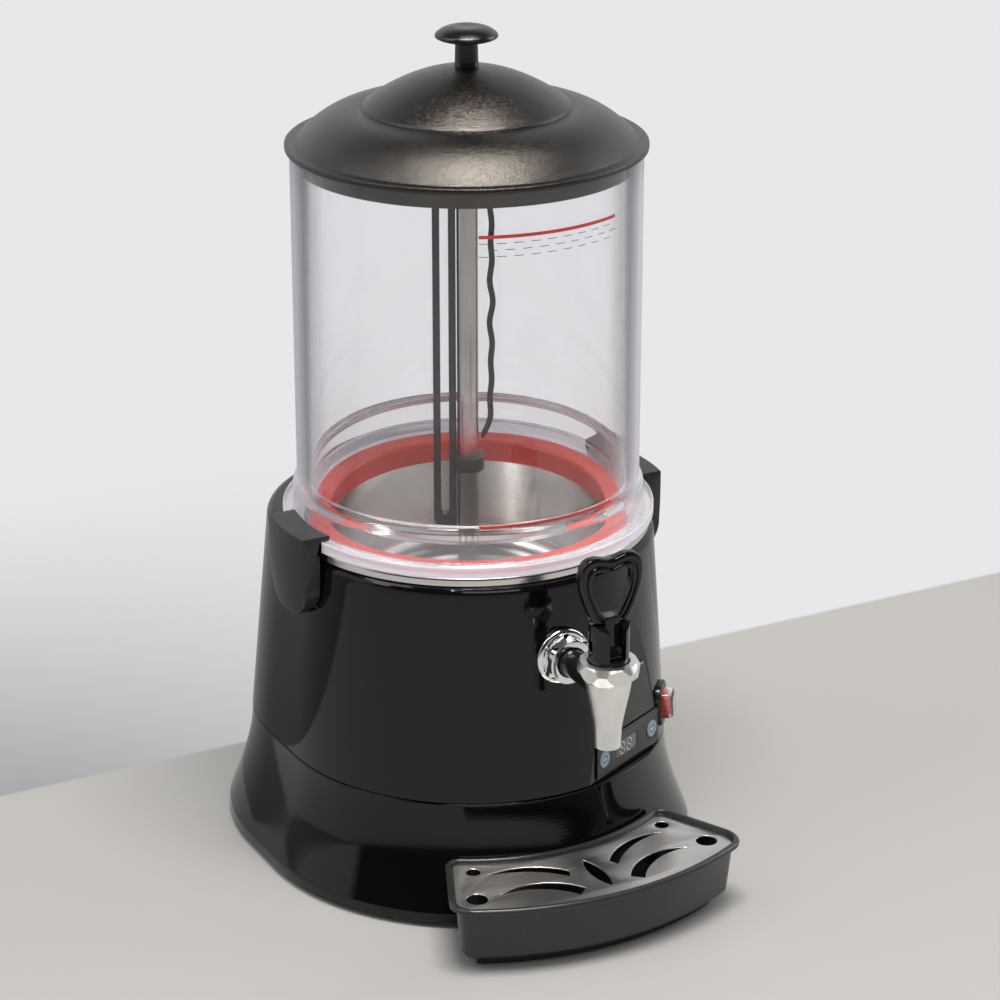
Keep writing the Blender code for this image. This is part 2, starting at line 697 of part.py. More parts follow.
def tank():
    """A pressed steel dish whose rim rests on the deck. A socket for the tap's shank leaves its front."""
    sheet = TANK_SHEET
    corner = TANK_CORNER
    inside = [(TUBE_RADIUS + GAP, TANK_FLOOR_Z)]
    outside = [(TUBE_RADIUS + GAP, TANK_FLOOR_Z - sheet)]
    for k in range(CORNER_STEPS + 1):
        turn = k / CORNER_STEPS * math.pi / 2
        across = TANK_RADIUS - corner + corner * math.sin(turn)
        z = TANK_FLOOR_Z + corner * (1 - math.cos(turn))
        inside.append((across, z))
        outside.append((across + sheet * math.sin(turn), z - sheet * math.cos(turn)))
    inside += [(TANK_RADIUS, TANK_RIM_Z - sheet), (TANK_RADIUS + sheet, TANK_RIM_Z)]
    inside += [(TANK_RIM_RADIUS - sheet, TANK_RIM_Z), (TANK_RIM_RADIUS, TANK_RIM_Z - sheet)]
    inside += [(TANK_RIM_RADIUS, DECK_Z + GAP)]
    outside += [(TANK_RADIUS + sheet, TANK_RIM_Z - sheet), (TANK_RIM_RADIUS - sheet, TANK_RIM_Z - sheet)]
    outside += [(TANK_RIM_RADIUS - sheet, DECK_Z + GAP)]
    dish = turned(inside + outside[::-1])
    wall_y = -(TANK_RADIUS + sheet / 2)
    socket_end = -(BATH_RADIUS - 2 * sheet)
    socket = rod(SHANK_RADIUS + GAP + sheet, (0, wall_y, TAP_Z), (0, socket_end, TAP_Z))
    bore = rod(SHANK_BORE, (0, wall_y + OVERRUN, TAP_Z), (0, wall_y - OVERRUN, TAP_Z))
    seat = rod(SHANK_RADIUS + GAP, (0, GAP - SHANK_START, TAP_Z), (0, wall_y - OVERRUN, TAP_Z))
    piece("tank", cut(joined(dish, socket), bore, seat), "steel")


def water_bath():
    """The pan round the tank that holds the bath water, hung under the deck by its flange."""
    sheet = BATH_SHEET
    top = DECK_Z - HOUSING_WALL - GAP
    radius = BATH_RADIUS
    profile = [(TUBE_RADIUS + GAP, BATH_FLOOR_Z - sheet), (radius + sheet, BATH_FLOOR_Z - sheet)]
    profile += [(radius + sheet, top - sheet), (radius + BATH_FLANGE, top - sheet), (radius + BATH_FLANGE, top)]
    profile += [(radius, top), (radius, BATH_FLOOR_Z), (TUBE_RADIUS + GAP, BATH_FLOOR_Z)]
    pan = turned(profile, ROUND_STEPS)
    beyond = radius + OVERRUN
    tap_hole = rod(SHANK_RADIUS + GAP, (0, -TANK_RADIUS, TAP_Z), (0, -beyond, TAP_Z))
    probe_hole = rod(PROBE_RADIUS + GAP, (0, TANK_RADIUS, PROBE_Z), (0, beyond, PROBE_Z))
    piece("water_bath", cut(pan, tap_hole, probe_hole), "steel")



def heater_and_probe():
    top = BATH_FLOOR_Z - BATH_SHEET - GAP
    profile = [(HEATER_INNER, top - HEATER_THICKNESS), (HEATER_OUTER, top - HEATER_THICKNESS)]
    profile += [(HEATER_OUTER, top), (HEATER_INNER, top)]
    piece("heater", turned(profile, 2 * SMALL_STEPS), "zinc")
    outside = BATH_RADIUS + BATH_SHEET + GAP
    tip = outside + PROBE_HEAD - PROBE_LENGTH
    stalk = rod(PROBE_RADIUS, (0, outside + PROBE_HEAD / 2, PROBE_Z), (0, tip, PROBE_Z))
    head = turn_to(prism(polygon(2 * PROBE_HEAD), 0, PROBE_HEAD), (0, 1, 0), (0, outside, PROBE_Z))
    piece("temperature_probe", joined(head, stalk), "zinc")


def centre_tube():
    inner = TUBE_RADIUS - TUBE_WALL
    profile = [(inner, TUBE_FOOT_Z), (TUBE_RADIUS, TUBE_FOOT_Z), (TUBE_RADIUS, TUBE_TOP_Z), (inner, TUBE_TOP_Z)]
    piece("centre_tube", turned(profile, SMALL_STEPS), "steel")



def drive():
    """The shaft up the tube, its coupling, the gearmotor below and the bridge that carries it."""
    piece("drive_shaft", rod(SHAFT_RADIUS, (0, 0, SHAFT_LOW), (0, 0, SHAFT_TOP)), "steel")
    bore = SHAFT_RADIUS + GAP
    ring = [(bore, COUPLING_LOW), (COUPLING_RADIUS, COUPLING_LOW)]
    ring += [(COUPLING_RADIUS, COUPLING_TOP), (bore, COUPLING_TOP)]
    piece("shaft_coupling", turned(ring, SMALL_STEPS), "smoke_plastic")
    under = BRACKET_TOP - BRACKET_SHEET - GAP
    outline = rounded_rectangle(GEARBOX_WIDTH, GEARBOX_DEPTH, GEARBOX_CORNER)
    gearbox = prism(outline, under - GEARBOX_HEIGHT, under)
    stub = rod(SHAFT_RADIUS, (0, 0, under - GEARBOX_HEIGHT / 2), (0, 0, SHAFT_LOW - GAP))
    can_top = under - GEARBOX_HEIGHT
    can = turned_solid([
        (MOTOR_RADIUS - MOTOR_EDGE, can_top - MOTOR_HEIGHT),
        (MOTOR_RADIUS, can_top - MOTOR_HEIGHT + MOTOR_EDGE),
        (MOTOR_RADIUS, can_top + GEARBOX_HEIGHT / 2),
    ])
    piece("gearmotor", joined(gearbox, stub, can), "motor_grey")
    floor = FOOT_HEIGHT + GAP + BASE_PLATE_SHEET + GAP
    half = BRACKET_SPAN / 2
    sheet = BRACKET_SHEET
    right = [(half - sheet, BRACKET_TOP - sheet), (half - sheet, floor), (half + BRACKET_FOOT, floor)]
    right += [(half + BRACKET_FOOT, floor + sheet), (half, floor + sheet), (half, BRACKET_TOP)]
    outline = right + [(-x, z) for x, z in reversed(right)]
    bridge = along_y(prism(outline, -BRACKET_WIDTH / 2, BRACKET_WIDTH / 2))
    hole = rod(SHAFT_RADIUS + RUNNING_GAP, (0, 0, BRACKET_TOP - OVERRUN), (0, 0, BRACKET_TOP + OVERRUN))
    piece("motor_bracket", cut(bridge, hole), "zinc")


def electrics():
    """The board behind the control facet, the terminal block and the cord's gland at the back."""
    face = -BOARD_STAND_OFF - GAP
    outline = rounded_rectangle(BOARD_WIDTH, BOARD_HEIGHT, BOARD_SHEET)
    outline = [(x, z + PANEL_Z) for x, z in outline]
    piece("control_board", on_facet(outline, face - BOARD_SHEET, face), "board_green")
    floor = FOOT_HEIGHT + GAP + BASE_PLATE_SHEET + GAP
    middle = (TERMINAL_PLACE_X, TERMINAL_PLACE_Y, floor + TERMINAL_HEIGHT / 2)
    body = block((TERMINAL_LENGTH, TERMINAL_WIDTH, TERMINAL_HEIGHT), middle)
    grooves = []
    for k in (-1, 0, 1):
        x = TERMINAL_PLACE_X + k * TERMINAL_LENGTH / 4
        size = (TERMINAL_GROOVE, 2 * TERMINAL_WIDTH, TERMINAL_HEIGHT / 2)
        grooves.append(block(size, (x, TERMINAL_PLACE_Y, floor + TERMINAL_HEIGHT)))
    piece("terminal_block", cut(body, *grooves), "black_satin")
    place, out = gland_frame()
    throat = rod(GLAND_THROAT, place - out * OVERRUN, place + out * GLAND_NUT)
    nut = turn_to(prism(polygon(2 * GLAND_RADIUS), 0, OVERRUN + GLAND_NUT), out, place - out * OVERRUN)
    nut = cut(nut, housing_solid(GAP, SEAM_Z, DECK_Z))
    edge = GLAND_RADIUS - GLAND_SHOULDER
    dome = turned_solid([(edge, 0), (edge, GLAND_CAP - GLAND_ROUNDING), (edge - GLAND_ROUNDING, GLAND_CAP)])
    turn_to(dome, out, place + out * (GLAND_NUT - GLAND_SHOULDER))
    bore = rod(GLAND_BORE, place - out * 2 * OVERRUN, place + out * 2 * OVERRUN)
    piece("cord_gland", cut(joined(throat, nut, dome), bore), "black_satin")


# Bowl, gasket and lid


def bowl():
    """A clear tube cemented into a socket ring, whose flange the clips hold down."""
    recess = TANK_RADIUS + GASKET_WIDTH + RUNNING_GAP
    recess_top = FLANGE_Z + GASKET_THICKNESS + RUNNING_GAP
    socket_top = FLANGE_Z + SOCKET_HEIGHT
    profile = [(BOWL_BORE, BOWL_TOP_Z), (BOWL_RADIUS, BOWL_TOP_Z), (BOWL_RADIUS, socket_top + SOCKET_CHAMFER)]
    profile += [(SOCKET_RADIUS, socket_top), (SOCKET_RADIUS, FLANGE_TOP_Z)]
    profile += [(FLANGE_RADIUS - FLANGE_EDGE, FLANGE_TOP_Z), (FLANGE_RADIUS, FLANGE_TOP_Z - FLANGE_EDGE)]
    profile += [(FLANGE_RADIUS, FLANGE_Z + FLANGE_EDGE), (FLANGE_RADIUS - FLANGE_EDGE, FLANGE_Z)]
    profile += [(recess, FLANGE_Z), (recess, recess_top), (SOCKET_BORE, recess_top)]
    profile += [(SOCKET_BORE, FLANGE_Z + SOCKET_DEPTH), (BOWL_BORE, FLANGE_Z + SOCKET_DEPTH + FLANGE_EDGE)]
    piece("bowl", turned(profile), "clear_plastic", (0, 0, FLANGE_Z))


def gasket():
    """A soft red ring on the tank's rim, with a lip that hangs inside the tank."""
    low = TANK_RIM_Z + GAP
    high = low + GASKET_THICKNESS
    outer = TANK_RADIUS - GAP
    inner = outer - GASKET_THICKNESS
    foot = TANK_RIM_Z - GASKET_DROP
    profile = [(outer, foot), (outer, low), (TANK_RADIUS + GASKET_WIDTH, low), (TANK_RADIUS + GASKET_WIDTH, high)]
    for k in range(CORNER_STEPS):
        turn = k / CORNER_STEPS * math.pi / 2
        across = outer - GASKET_THICKNESS * math.sin(turn)
        profile.append((across, high - GASKET_THICKNESS * (1 - math.cos(turn))))
    profile += [(inner, high - GASKET_THICKNESS), (inner, foot + GASKET_LIP_EDGE)]
    profile += [(inner + GASKET_LIP_EDGE, foot)]
    piece("gasket", turned(profile), "red_silicone", (0, 0, FLANGE_Z))


LOWER_DOME_SHARES = ((1.00, 0.00), (0.95, 0.09), (0.87, 0.28), (0.66, 0.60), (0.32, 0.88), (0.00, 1.00))
UPPER_DOME_SHARES = (0.97, 0.78, 0.52, 0.26)
UPPER_DOME_INNER_SHARES = (0.30, 0.60, 0.85)


def lid():
    """A dome in two steps with a flat rim, and a skirt that goes down inside the bowl."""
    foot = LID_RADIUS - LID_RIM_WIDTH
    outside = [(LID_RADIUS, LID_Z), (LID_RADIUS, LID_RIM_Z - LID_ROUNDING)]
    outside.append((LID_RADIUS - LID_ROUNDING, LID_RIM_Z))
    shoulder = LID_DOME_Z - LID_STEP
    for across, up in LOWER_DOME_SHARES:
        radius = LID_DOME_RADIUS + (foot - LID_DOME_RADIUS) * across
        outside.append((radius, LID_RIM_Z + (shoulder - LID_RIM_Z) * up))
    for share in UPPER_DOME_SHARES:
        outside.append((LID_DOME_RADIUS * share, LID_TOP_Z - LID_DOME_RISE * share**2))
    hole = LID_SCREW_RADIUS + GAP
    outside.append((hole, LID_TOP_Z))
    inside = [(hole, LID_TOP_Z - LID_WALL)]
    for share in UPPER_DOME_INNER_SHARES:
        inside.append((LID_DOME_RADIUS * share - LID_WALL / 2, LID_TOP_Z - LID_DOME_RISE * share**2 - LID_WALL))
    for across, up in reversed(LOWER_DOME_SHARES[1:]):
        radius = LID_DOME_RADIUS + (foot - LID_DOME_RADIUS) * across - LID_WALL * (1 - up / 2)
        inside.append((radius, LID_RIM_Z + (shoulder - LID_RIM_Z) * up - LID_WALL))
    skirt = BOWL_BORE - RUNNING_GAP
    inside.append((skirt - LID_WALL, LID_Z))
    inside.append((skirt - LID_WALL, LID_Z - LID_SKIRT_DEPTH))
    inside.append((skirt, LID_Z - LID_SKIRT_DEPTH))
    inside.append((skirt, LID_Z))
    piece("lid", turned(outside + inside), "lid_black", (0, 0, LID_Z))


# The knob's disc from its underside up, as shares of its radius and height
KNOB_DISC_SHARES = ((0.9, 0.0), (1.0, 0.385), (0.9, 0.66), (0.66, 0.92), (0.4, 1.0))


def knob_and_screw():
    low = LID_TOP_Z + GAP
    disc = low + KNOB_STEM_HEIGHT
    profile = [(KNOB_STEM_RADIUS, low), (KNOB_STEM_RADIUS, disc)]
    for across, up in KNOB_DISC_SHARES:
        profile.append((KNOB_RADIUS * across, disc + KNOB_DISC_HEIGHT * up))
    solid = turned_solid(profile, 2 * SMALL_STEPS)
    blind = rod(LID_SCREW_RADIUS + GAP, (0, 0, low - OVERRUN), (0, 0, low + LID_SCREW_REACH + GAP))
    piece("lid_knob", cut(solid, blind), "lid_black", (0, 0, LID_Z))
    under = LID_TOP_Z - LID_WALL - GAP
    head_low = under - LID_SCREW_HEAD_HEIGHT
    profile = [(LID_SCREW_HEAD - LID_ROUNDING, head_low), (LID_SCREW_HEAD, head_low + LID_ROUNDING)]
    profile += [(LID_SCREW_HEAD, under), (LID_SCREW_RADIUS, under), (LID_SCREW_RADIUS, low + LID_SCREW_REACH)]
    piece("lid_screw", turned_solid(profile), "steel", (0, 0, LID_Z))


# Stirrer


def turned_stirrer(bm):
    """Turns a piece drawn along X to where the stirrer stands."""
    bmesh.ops.rotate(bm, cent=(0, 0, 0), matrix=Matrix.Rotation(STIRRER_ANGLE, 3, "Z"), verts=bm.verts)
    return bm


def stirrer_frame():
    """One moulding: a cap over the tube, an arm each way, and a slotted blade down to a low paddle."""
    crown = TUBE_TOP_Z + HUB_TOP
    cap = turned_solid([(HUB_RADIUS, HUB_LOW), (HUB_RADIUS, crown - HUB_EDGE), (HUB_RADIUS - HUB_EDGE, crown)])
    arm_reach = STRIP_PLACE + STRIP_WIDTH
    arm_size = (STIRRER_REACH + arm_reach, STIRRER_THICKNESS, ARM_HEIGHT)
    arm = block(arm_size, ((arm_reach - STIRRER_REACH) / 2, 0, ARM_Z))
    corner = PADDLE_CORNER
    outline = [(-STIRRER_INNER, STIRRER_LOW), (-STIRRER_INNER, ARM_Z), (-STIRRER_REACH, ARM_Z)]
    for k in range(CORNER_STEPS + 1):
        turn = math.pi + k / CORNER_STEPS * math.pi / 2
        x = -STIRRER_REACH + corner + corner * math.cos(turn)
        outline.append((x, STIRRER_LOW + corner + corner * math.sin(turn)))
    blade = along_y(prism(outline[::-1], -STIRRER_THICKNESS / 2, STIRRER_THICKNESS / 2))
    slot_left = -STIRRER_REACH + STIRRER_BAR
    slot_right = -STIRRER_INNER - STIRRER_BAR
    half = (slot_right - slot_left) / 2
    middle = (slot_left + slot_right) / 2
    low = STIRRER_LOW + STIRRER_SLOT_END
    slot = [(slot_left, ARM_Z - ARM_HEIGHT / 2), (slot_left, low + 2 * half)]
    for k in range(1, CORNER_STEPS):
        turn = math.pi + k / CORNER_STEPS * math.pi
        slot.append((middle + half * math.cos(turn), low + 2 * half + 2 * half * math.sin(turn)))
    slot += [(slot_right, low + 2 * half), (slot_right, ARM_Z - ARM_HEIGHT / 2)]
    opening = along_y(prism(slot, -OVERRUN, OVERRUN))
    bore = rod(TUBE_RADIUS + RUNNING_GAP, (0, 0, HUB_LOW - OVERRUN), (0, 0, TUBE_TOP_Z + RUNNING_GAP))
    socket = rod(SHAFT_RADIUS + GAP, (0, 0, TUBE_TOP_Z), (0, 0, SHAFT_TOP + GAP))
    notch_size = (2 * STRIP_WIDTH, STRIP_WIDTH, OVERRUN)
    notch = block(notch_size, (arm_reach, 0, ARM_NOTCH_Z - OVERRUN / 2))
    frame = joined(cap, arm, cut(blade, opening))
    piece("stirrer_frame", turned_stirrer(cut(frame, bore, socket, notch)), "smoke_plastic")


def stirrer_collar():
    """A C-shaped clip round the tube, pressed against the blade."""
    low = TANK_FLOOR_Z + COLLAR_LIFT
    inner = TUBE_RADIUS + RUNNING_GAP
    outer = inner + COLLAR_WALL
    high = low + COLLAR_HEIGHT
    ring = [(inner, low), (outer, low), (outer, high), (inner, high)]
    mouth_size = (2 * HUB_RADIUS, STIRRER_THICKNESS + 2 * GAP, 2 * COLLAR_HEIGHT)
    mouth = block(mouth_size, (-HUB_RADIUS, 0, (low + high) / 2))
    piece("stirrer_collar", turned_stirrer(cut(turned(ring, SMALL_STEPS), mouth)), "smoke_plastic")


STRIP_END_SHARES = (0.45, 0.85, 1)


def stirrer_strip():
    """A slim wavy strip that hangs from the arm's notch, round at its lower end."""
    top = ARM_NOTCH_Z - GAP
    low = TANK_FLOOR_Z + STRIP_END_LIFT
    half = STRIP_WIDTH / 2
    depth = STRIP_WIDTH / 2 - GAP
    loops = []
    for k in range(STRIP_STEPS + 1):
        z = low + (top - low) * k / STRIP_STEPS
        fade = min(1, (top - z) / STRIP_WAVE_LENGTH)
        sway = math.sin(2 * math.pi * (top - z) / STRIP_WAVE_LENGTH)
        x = STRIP_PLACE + GAP + half + fade * STRIP_WAVE * sway
        w = half * STRIP_END_SHARES[min(k, 2)]
        loops.append([(x - w, -depth, z), (x + w, -depth, z), (x + w, depth, z), (x - w, depth, z)])
    piece("stirrer_strip", turned_stirrer(loft(loops)), "smoke_plastic")


# Tap


def tap_mounting():
    """The round escutcheon that follows the casing, the nut on it and the threaded shank."""
    front = HOUSING_FACE + ESCUTCHEON_THICKNESS
    edge = ESCUTCHEON_EDGE
    profile = [(ESCUTCHEON_RADIUS, 0), (ESCUTCHEON_RADIUS, OVERRUN - edge), (ESCUTCHEON_RADIUS - edge, OVERRUN)]
    disc = turn_to(turned_solid(profile, 2 * SMALL_STEPS), (0, -1, 0), (0, OVERRUN - front, TAP_Z))
    bore = rod(SHANK_RADIUS + GAP, (0, 0, TAP_Z), (0, -TAP_REACH, TAP_Z))
    casing = housing_solid(GAP, SEAM_Z, DECK_Z)
    piece("tap_escutcheon", cut(disc, casing, bore), "chrome")
    nut = prism(polygon(TAP_NUT_FLATS), 0, TAP_NUT_THICKNESS)
    corner = TAP_NUT_FLATS / 2 / math.cos(math.pi / HEX_SIDES)
    rounding = turned_solid([
        (corner + GAP, 0),
        (corner + GAP, TAP_NUT_THICKNESS - TAP_NUT_CHAMFER),
        (TAP_NUT_FLATS / 2 - GAP, TAP_NUT_THICKNESS),
    ], 2 * SMALL_STEPS)
    nut = combined(nut, [rounding], "INTERSECT")
    nut = turn_to(nut, (0, -1, 0), (0, -front - GAP, TAP_Z))
    bore = rod(SHANK_RADIUS + GAP, (0, 0, TAP_Z), (0, -TAP_REACH, TAP_Z))
    piece("tap_nut", cut(nut, bore), "chrome")
    chamber_side = TAP_REACH - CHAMBER_RADIUS - RUNNING_GAP
    outer = rod(SHANK_RADIUS, (0, -SHANK_START, TAP_Z), (0, -chamber_side, TAP_Z))
    bore = rod(SHANK_BORE, (0, 0, TAP_Z), (0, -TAP_REACH, TAP_Z))
    piece("tap_shank", cut(outer, bore), "black_satin")


# The spout from its mouth up to the shank's height, as shares of that height and of its radius's growth
SPOUT_SHARES = ((0.0, 0.0), (0.22, 0.055), (0.35, 0.11), (0.48, 0.25), (0.74, 0.615), (1.0, 1.0))
# Where the collar is widest and where its lower cone ends, as shares of its height down from its top,
# and the widths at its top, at that cone and at its foot as shares of its flats
COLLAR_WIDEST_SHARE = 0.33
COLLAR_CONE_SHARE = 0.93
COLLAR_TOP_WIDTH_SHARE = 1.01
COLLAR_CONE_WIDTH_SHARE = 0.98
COLLAR_FOOT_WIDTH_SHARE = 0.80


def collar_row(turns, radius, level):
    """Points round the collar where its flats meet the turned profile that is this wide at this level.

    The profile grows in a straight line to the collar's widest place, so that the flats end in arches.
    """
    widest = TAP_COLLAR_WIDEST / 2
    widest_z = COLLAR_TOP_Z - TAP_COLLAR_HEIGHT * COLLAR_WIDEST_SHARE
    sector = 2 * math.pi / HEX_SIDES
    row = []
    for turn in turns:
        side = (turn - TAP_COLLAR_TURN) % sector - sector / 2
        out = min(TAP_COLLAR_FLATS / 2 / math.cos(side), widest)
        share = max(0, (out - radius) / (widest - radius))
        row.append((out * math.cos(turn), out * math.sin(turn), level + (widest_z - level) * share))
    return row


def tap_body():
    """A tapering spout below a hexagonal collar, bored for the bonnet, the valve and the shank."""
    steps = 2 * ROUND_STEPS - 2 * SMALL_STEPS
    turns = [2 * math.pi * i / steps for i in range(steps)]
    half_flats = TAP_COLLAR_FLATS / 2
    cone_z = COLLAR_TOP_Z - TAP_COLLAR_HEIGHT * COLLAR_CONE_SHARE
    loops = []
    for up, growth in SPOUT_SHARES:
        radius = TAP_CONE_FOOT + (TAP_CONE_TOP - TAP_CONE_FOOT) * growth
        loops.append(circle(radius, SPOUT_Z + TAP_SPOUT_DROP * up, steps))
    loops.append(circle(half_flats * COLLAR_FOOT_WIDTH_SHARE, COLLAR_TOP_Z - TAP_COLLAR_HEIGHT, steps))
    loops.append(collar_row(turns, half_flats * COLLAR_CONE_WIDTH_SHARE, cone_z))
    loops.append(collar_row(turns, half_flats * COLLAR_TOP_WIDTH_SHARE, COLLAR_TOP_Z - TAP_COLLAR_CHAMFER))
    loops.append(circle(half_flats - TAP_COLLAR_CHAMFER, COLLAR_TOP_Z, steps))
    mouth = rod(SPOUT_BORE, (0, 0, SPOUT_Z - OVERRUN), (0, 0, SEAT_Z + OVERRUN / 2))
    chamber = rod(CHAMBER_RADIUS, (0, 0, SEAT_Z), (0, 0, COLLAR_TOP_Z - BONNET_SINK / 2))
    bonnet = rod(BONNET_RADIUS + GAP, (0, 0, COLLAR_TOP_Z - BONNET_SINK - GAP), (0, 0, COLLAR_TOP_Z + OVERRUN))
    side = rod(SHANK_RADIUS + GAP, (0, 0, TAP_Z), (0, TAP_REACH, TAP_Z))
    solid = cut(loft(loops), mouth, chamber, bonnet, side)
    bmesh.ops.translate(solid, vec=(0, -TAP_REACH, 0), verts=solid.verts)
    piece("tap_body", solid, "satin_steel")


def tap_bonnet():
    """The black cap screwed into the body. Its slot holds the lever's eccentric, its top is its cradle."""
    low = COLLAR_TOP_Z - BONNET_SINK
    floor = PIN_Z - HEEL_RADIUS - GAP
    solid = rod(BONNET_RADIUS, (0, 0, low), (0, 0, PIN_Z + CRADLE_RADIUS + GAP), 2 * SMALL_STEPS)
    beyond = BONNET_RADIUS + OVERRUN
    cradle = rod(CRADLE_RADIUS, (-beyond, 0, PIN_Z), (beyond, 0, PIN_Z), 2 * SMALL_STEPS)
    below = rod((BONNET_RADIUS + CRADLE_RADIUS) / 2, (0, 0, low - OVERRUN), (0, 0, PIN_Z))
    solid = combined(solid, [joined(cradle, below)], "INTERSECT")
    depth = 2 * beyond
    height = CRADLE_RADIUS + HEEL_RADIUS + GAP
    rear = HEEL_RADIUS + RUNNING_GAP
    slot = block((SLOT_WIDTH, depth, 2 * height), (0, rear - depth / 2, floor + height))
    stem = rod(STEM_RADIUS + RUNNING_GAP, (0, 0, low - OVERRUN), (0, 0, floor + OVERRUN))
    lift = HEEL_TOE * LEVER_TILT
    track_size = (2 * beyond, 2 * (PIN_RADIUS + GAP), lift + 2 * (PIN_RADIUS + GAP))
    track = block(track_size, (0, 0, PIN_Z + lift / 2))
    solid = cut(solid, slot, stem, track)
    bmesh.ops.translate(solid, vec=(0, -TAP_REACH, 0), verts=solid.verts)
    piece("tap_bonnet", solid, "black_satin")


def tap_stem_and_pin():
    """The valve's rubber plug and stem, and the cross pin through its head that the lever hangs on."""
    plug_low = SEAT_Z + GAP
    profile = [(SPOUT_BORE - RUNNING_GAP, plug_low), (PLUG_RADIUS, plug_low + GAP)]
    profile += [(PLUG_RADIUS, plug_low + PLUG_HEIGHT)]
    profile += [(STEM_RADIUS, plug_low + PLUG_HEIGHT), (STEM_RADIUS, PIN_Z)]
    head = rod(STEM_HEAD_RADIUS, (-STEM_RADIUS, 0, PIN_Z), (STEM_RADIUS, 0, PIN_Z))
    eye = rod(PIN_RADIUS + GAP, (-BONNET_RADIUS, 0, PIN_Z), (BONNET_RADIUS, 0, PIN_Z))
    stem = cut(joined(turned_solid(profile), head), eye)
    place = Vector((0, -TAP_REACH, 0))
    bmesh.ops.translate(stem, vec=place, verts=stem.verts)
    piece("tap_stem", stem, "rubber", (0, -TAP_REACH, PIN_Z))
    half = BONNET_RADIUS + PIN_RADIUS / 2
    pin = rod(PIN_RADIUS, place + Vector((-half, 0, PIN_Z)), place + Vector((half, 0, PIN_Z)))
    piece("tap_pin", pin, "chrome", (0, -TAP_REACH, PIN_Z))


# The heart's right half, outside and round its opening, as shares of its half width and height
HEART_SHARES = ((0.00, 0.90), (0.22, 0.96), (0.45, 1.00), (0.70, 0.97), (0.90, 0.86), (1.00, 0.68), (0.97, 0.50),
                (0.86, 0.32), (0.70, 0.13), (0.56, 0.00))
HEART_HOLE_SHARES = ((0.00, 0.705), (0.17, 0.745), (0.35, 0.775), (0.52, 0.765), (0.62, 0.71), (0.655, 0.62),
                     (0.61, 0.48), (0.48, 0.31), (0.30, 0.15), (0.06, 0.035))
# The ring's section: shares of the way in to the opening and of half its thickness
HEART_SECTION_SHARES = ((0, 0.6), (0.13, 1), (0.87, 1), (1, 0.6), (1, -0.6), (0.87, -1), (0.13, -1), (0, -0.6))


def tap_lever():
    """The heart handle: a moulded ring above a forked hub, whose toe pries the stem up when it tilts."""
    low = PIN_Z + CRADLE_RADIUS + RUNNING_GAP
    half = HEART_THICKNESS / 2
    edges = []
    for shares in (HEART_SHARES, HEART_HOLE_SHARES):
        right = [(x * HEART_HALF_WIDTH, low + z * HEART_HEIGHT) for x, z in shares]
        edges.append(right[::-1] + [(-x, z) for x, z in right[1:]])
    loops = []
    for across, out in HEART_SECTION_SHARES:
        loop = []
        for (x, z), (hole_x, hole_z) in zip(*edges):
            loop.append((x + (hole_x - x) * across, out * half, z + (hole_z - z) * across))
        loops.append(loop)
    ring = loft(loops, ends="join")
    width = SLOT_WIDTH - 2 * RUNNING_GAP
    top = low - PIN_Z + HEART_RING / 2
    heel = HEEL_RADIUS
    toe = HEEL_TOE
    outline = [(heel, top)]
    for k in range(CORNER_STEPS + 1):
        turn = -k / CORNER_STEPS * math.pi / 2
        outline.append((heel * math.cos(turn), heel * math.sin(turn)))
    outline += [(-toe, -heel), (-toe, -heel / 2), (-heel, heel / 2), (-heel, top)]
    hub = along_x(prism([(y, z + PIN_Z) for y, z in outline], -width / 2, width / 2))
    bmesh.ops.recalc_face_normals(hub, faces=hub.faces)
    eye = rod(PIN_RADIUS + GAP, (-BONNET_RADIUS, 0, PIN_Z), (BONNET_RADIUS, 0, PIN_Z))
    fork_width = 2 * (STEM_RADIUS + RUNNING_GAP)
    fork_top = STEM_HEAD_RADIUS + RUNNING_GAP
    fork_low = heel + OVERRUN
    fork_depth = 2 * (toe + OVERRUN)
    fork = block((fork_width, fork_depth, fork_top + fork_low), (0, 0, PIN_Z + (fork_top - fork_low) / 2))
    solid = cut(joined(ring, hub), eye, fork)
    bmesh.ops.translate(solid, vec=(0, -TAP_REACH, 0), verts=solid.verts)
    piece("tap_lever", solid, "black_satin", (0, -TAP_REACH, PIN_Z))


# Control facet and switch


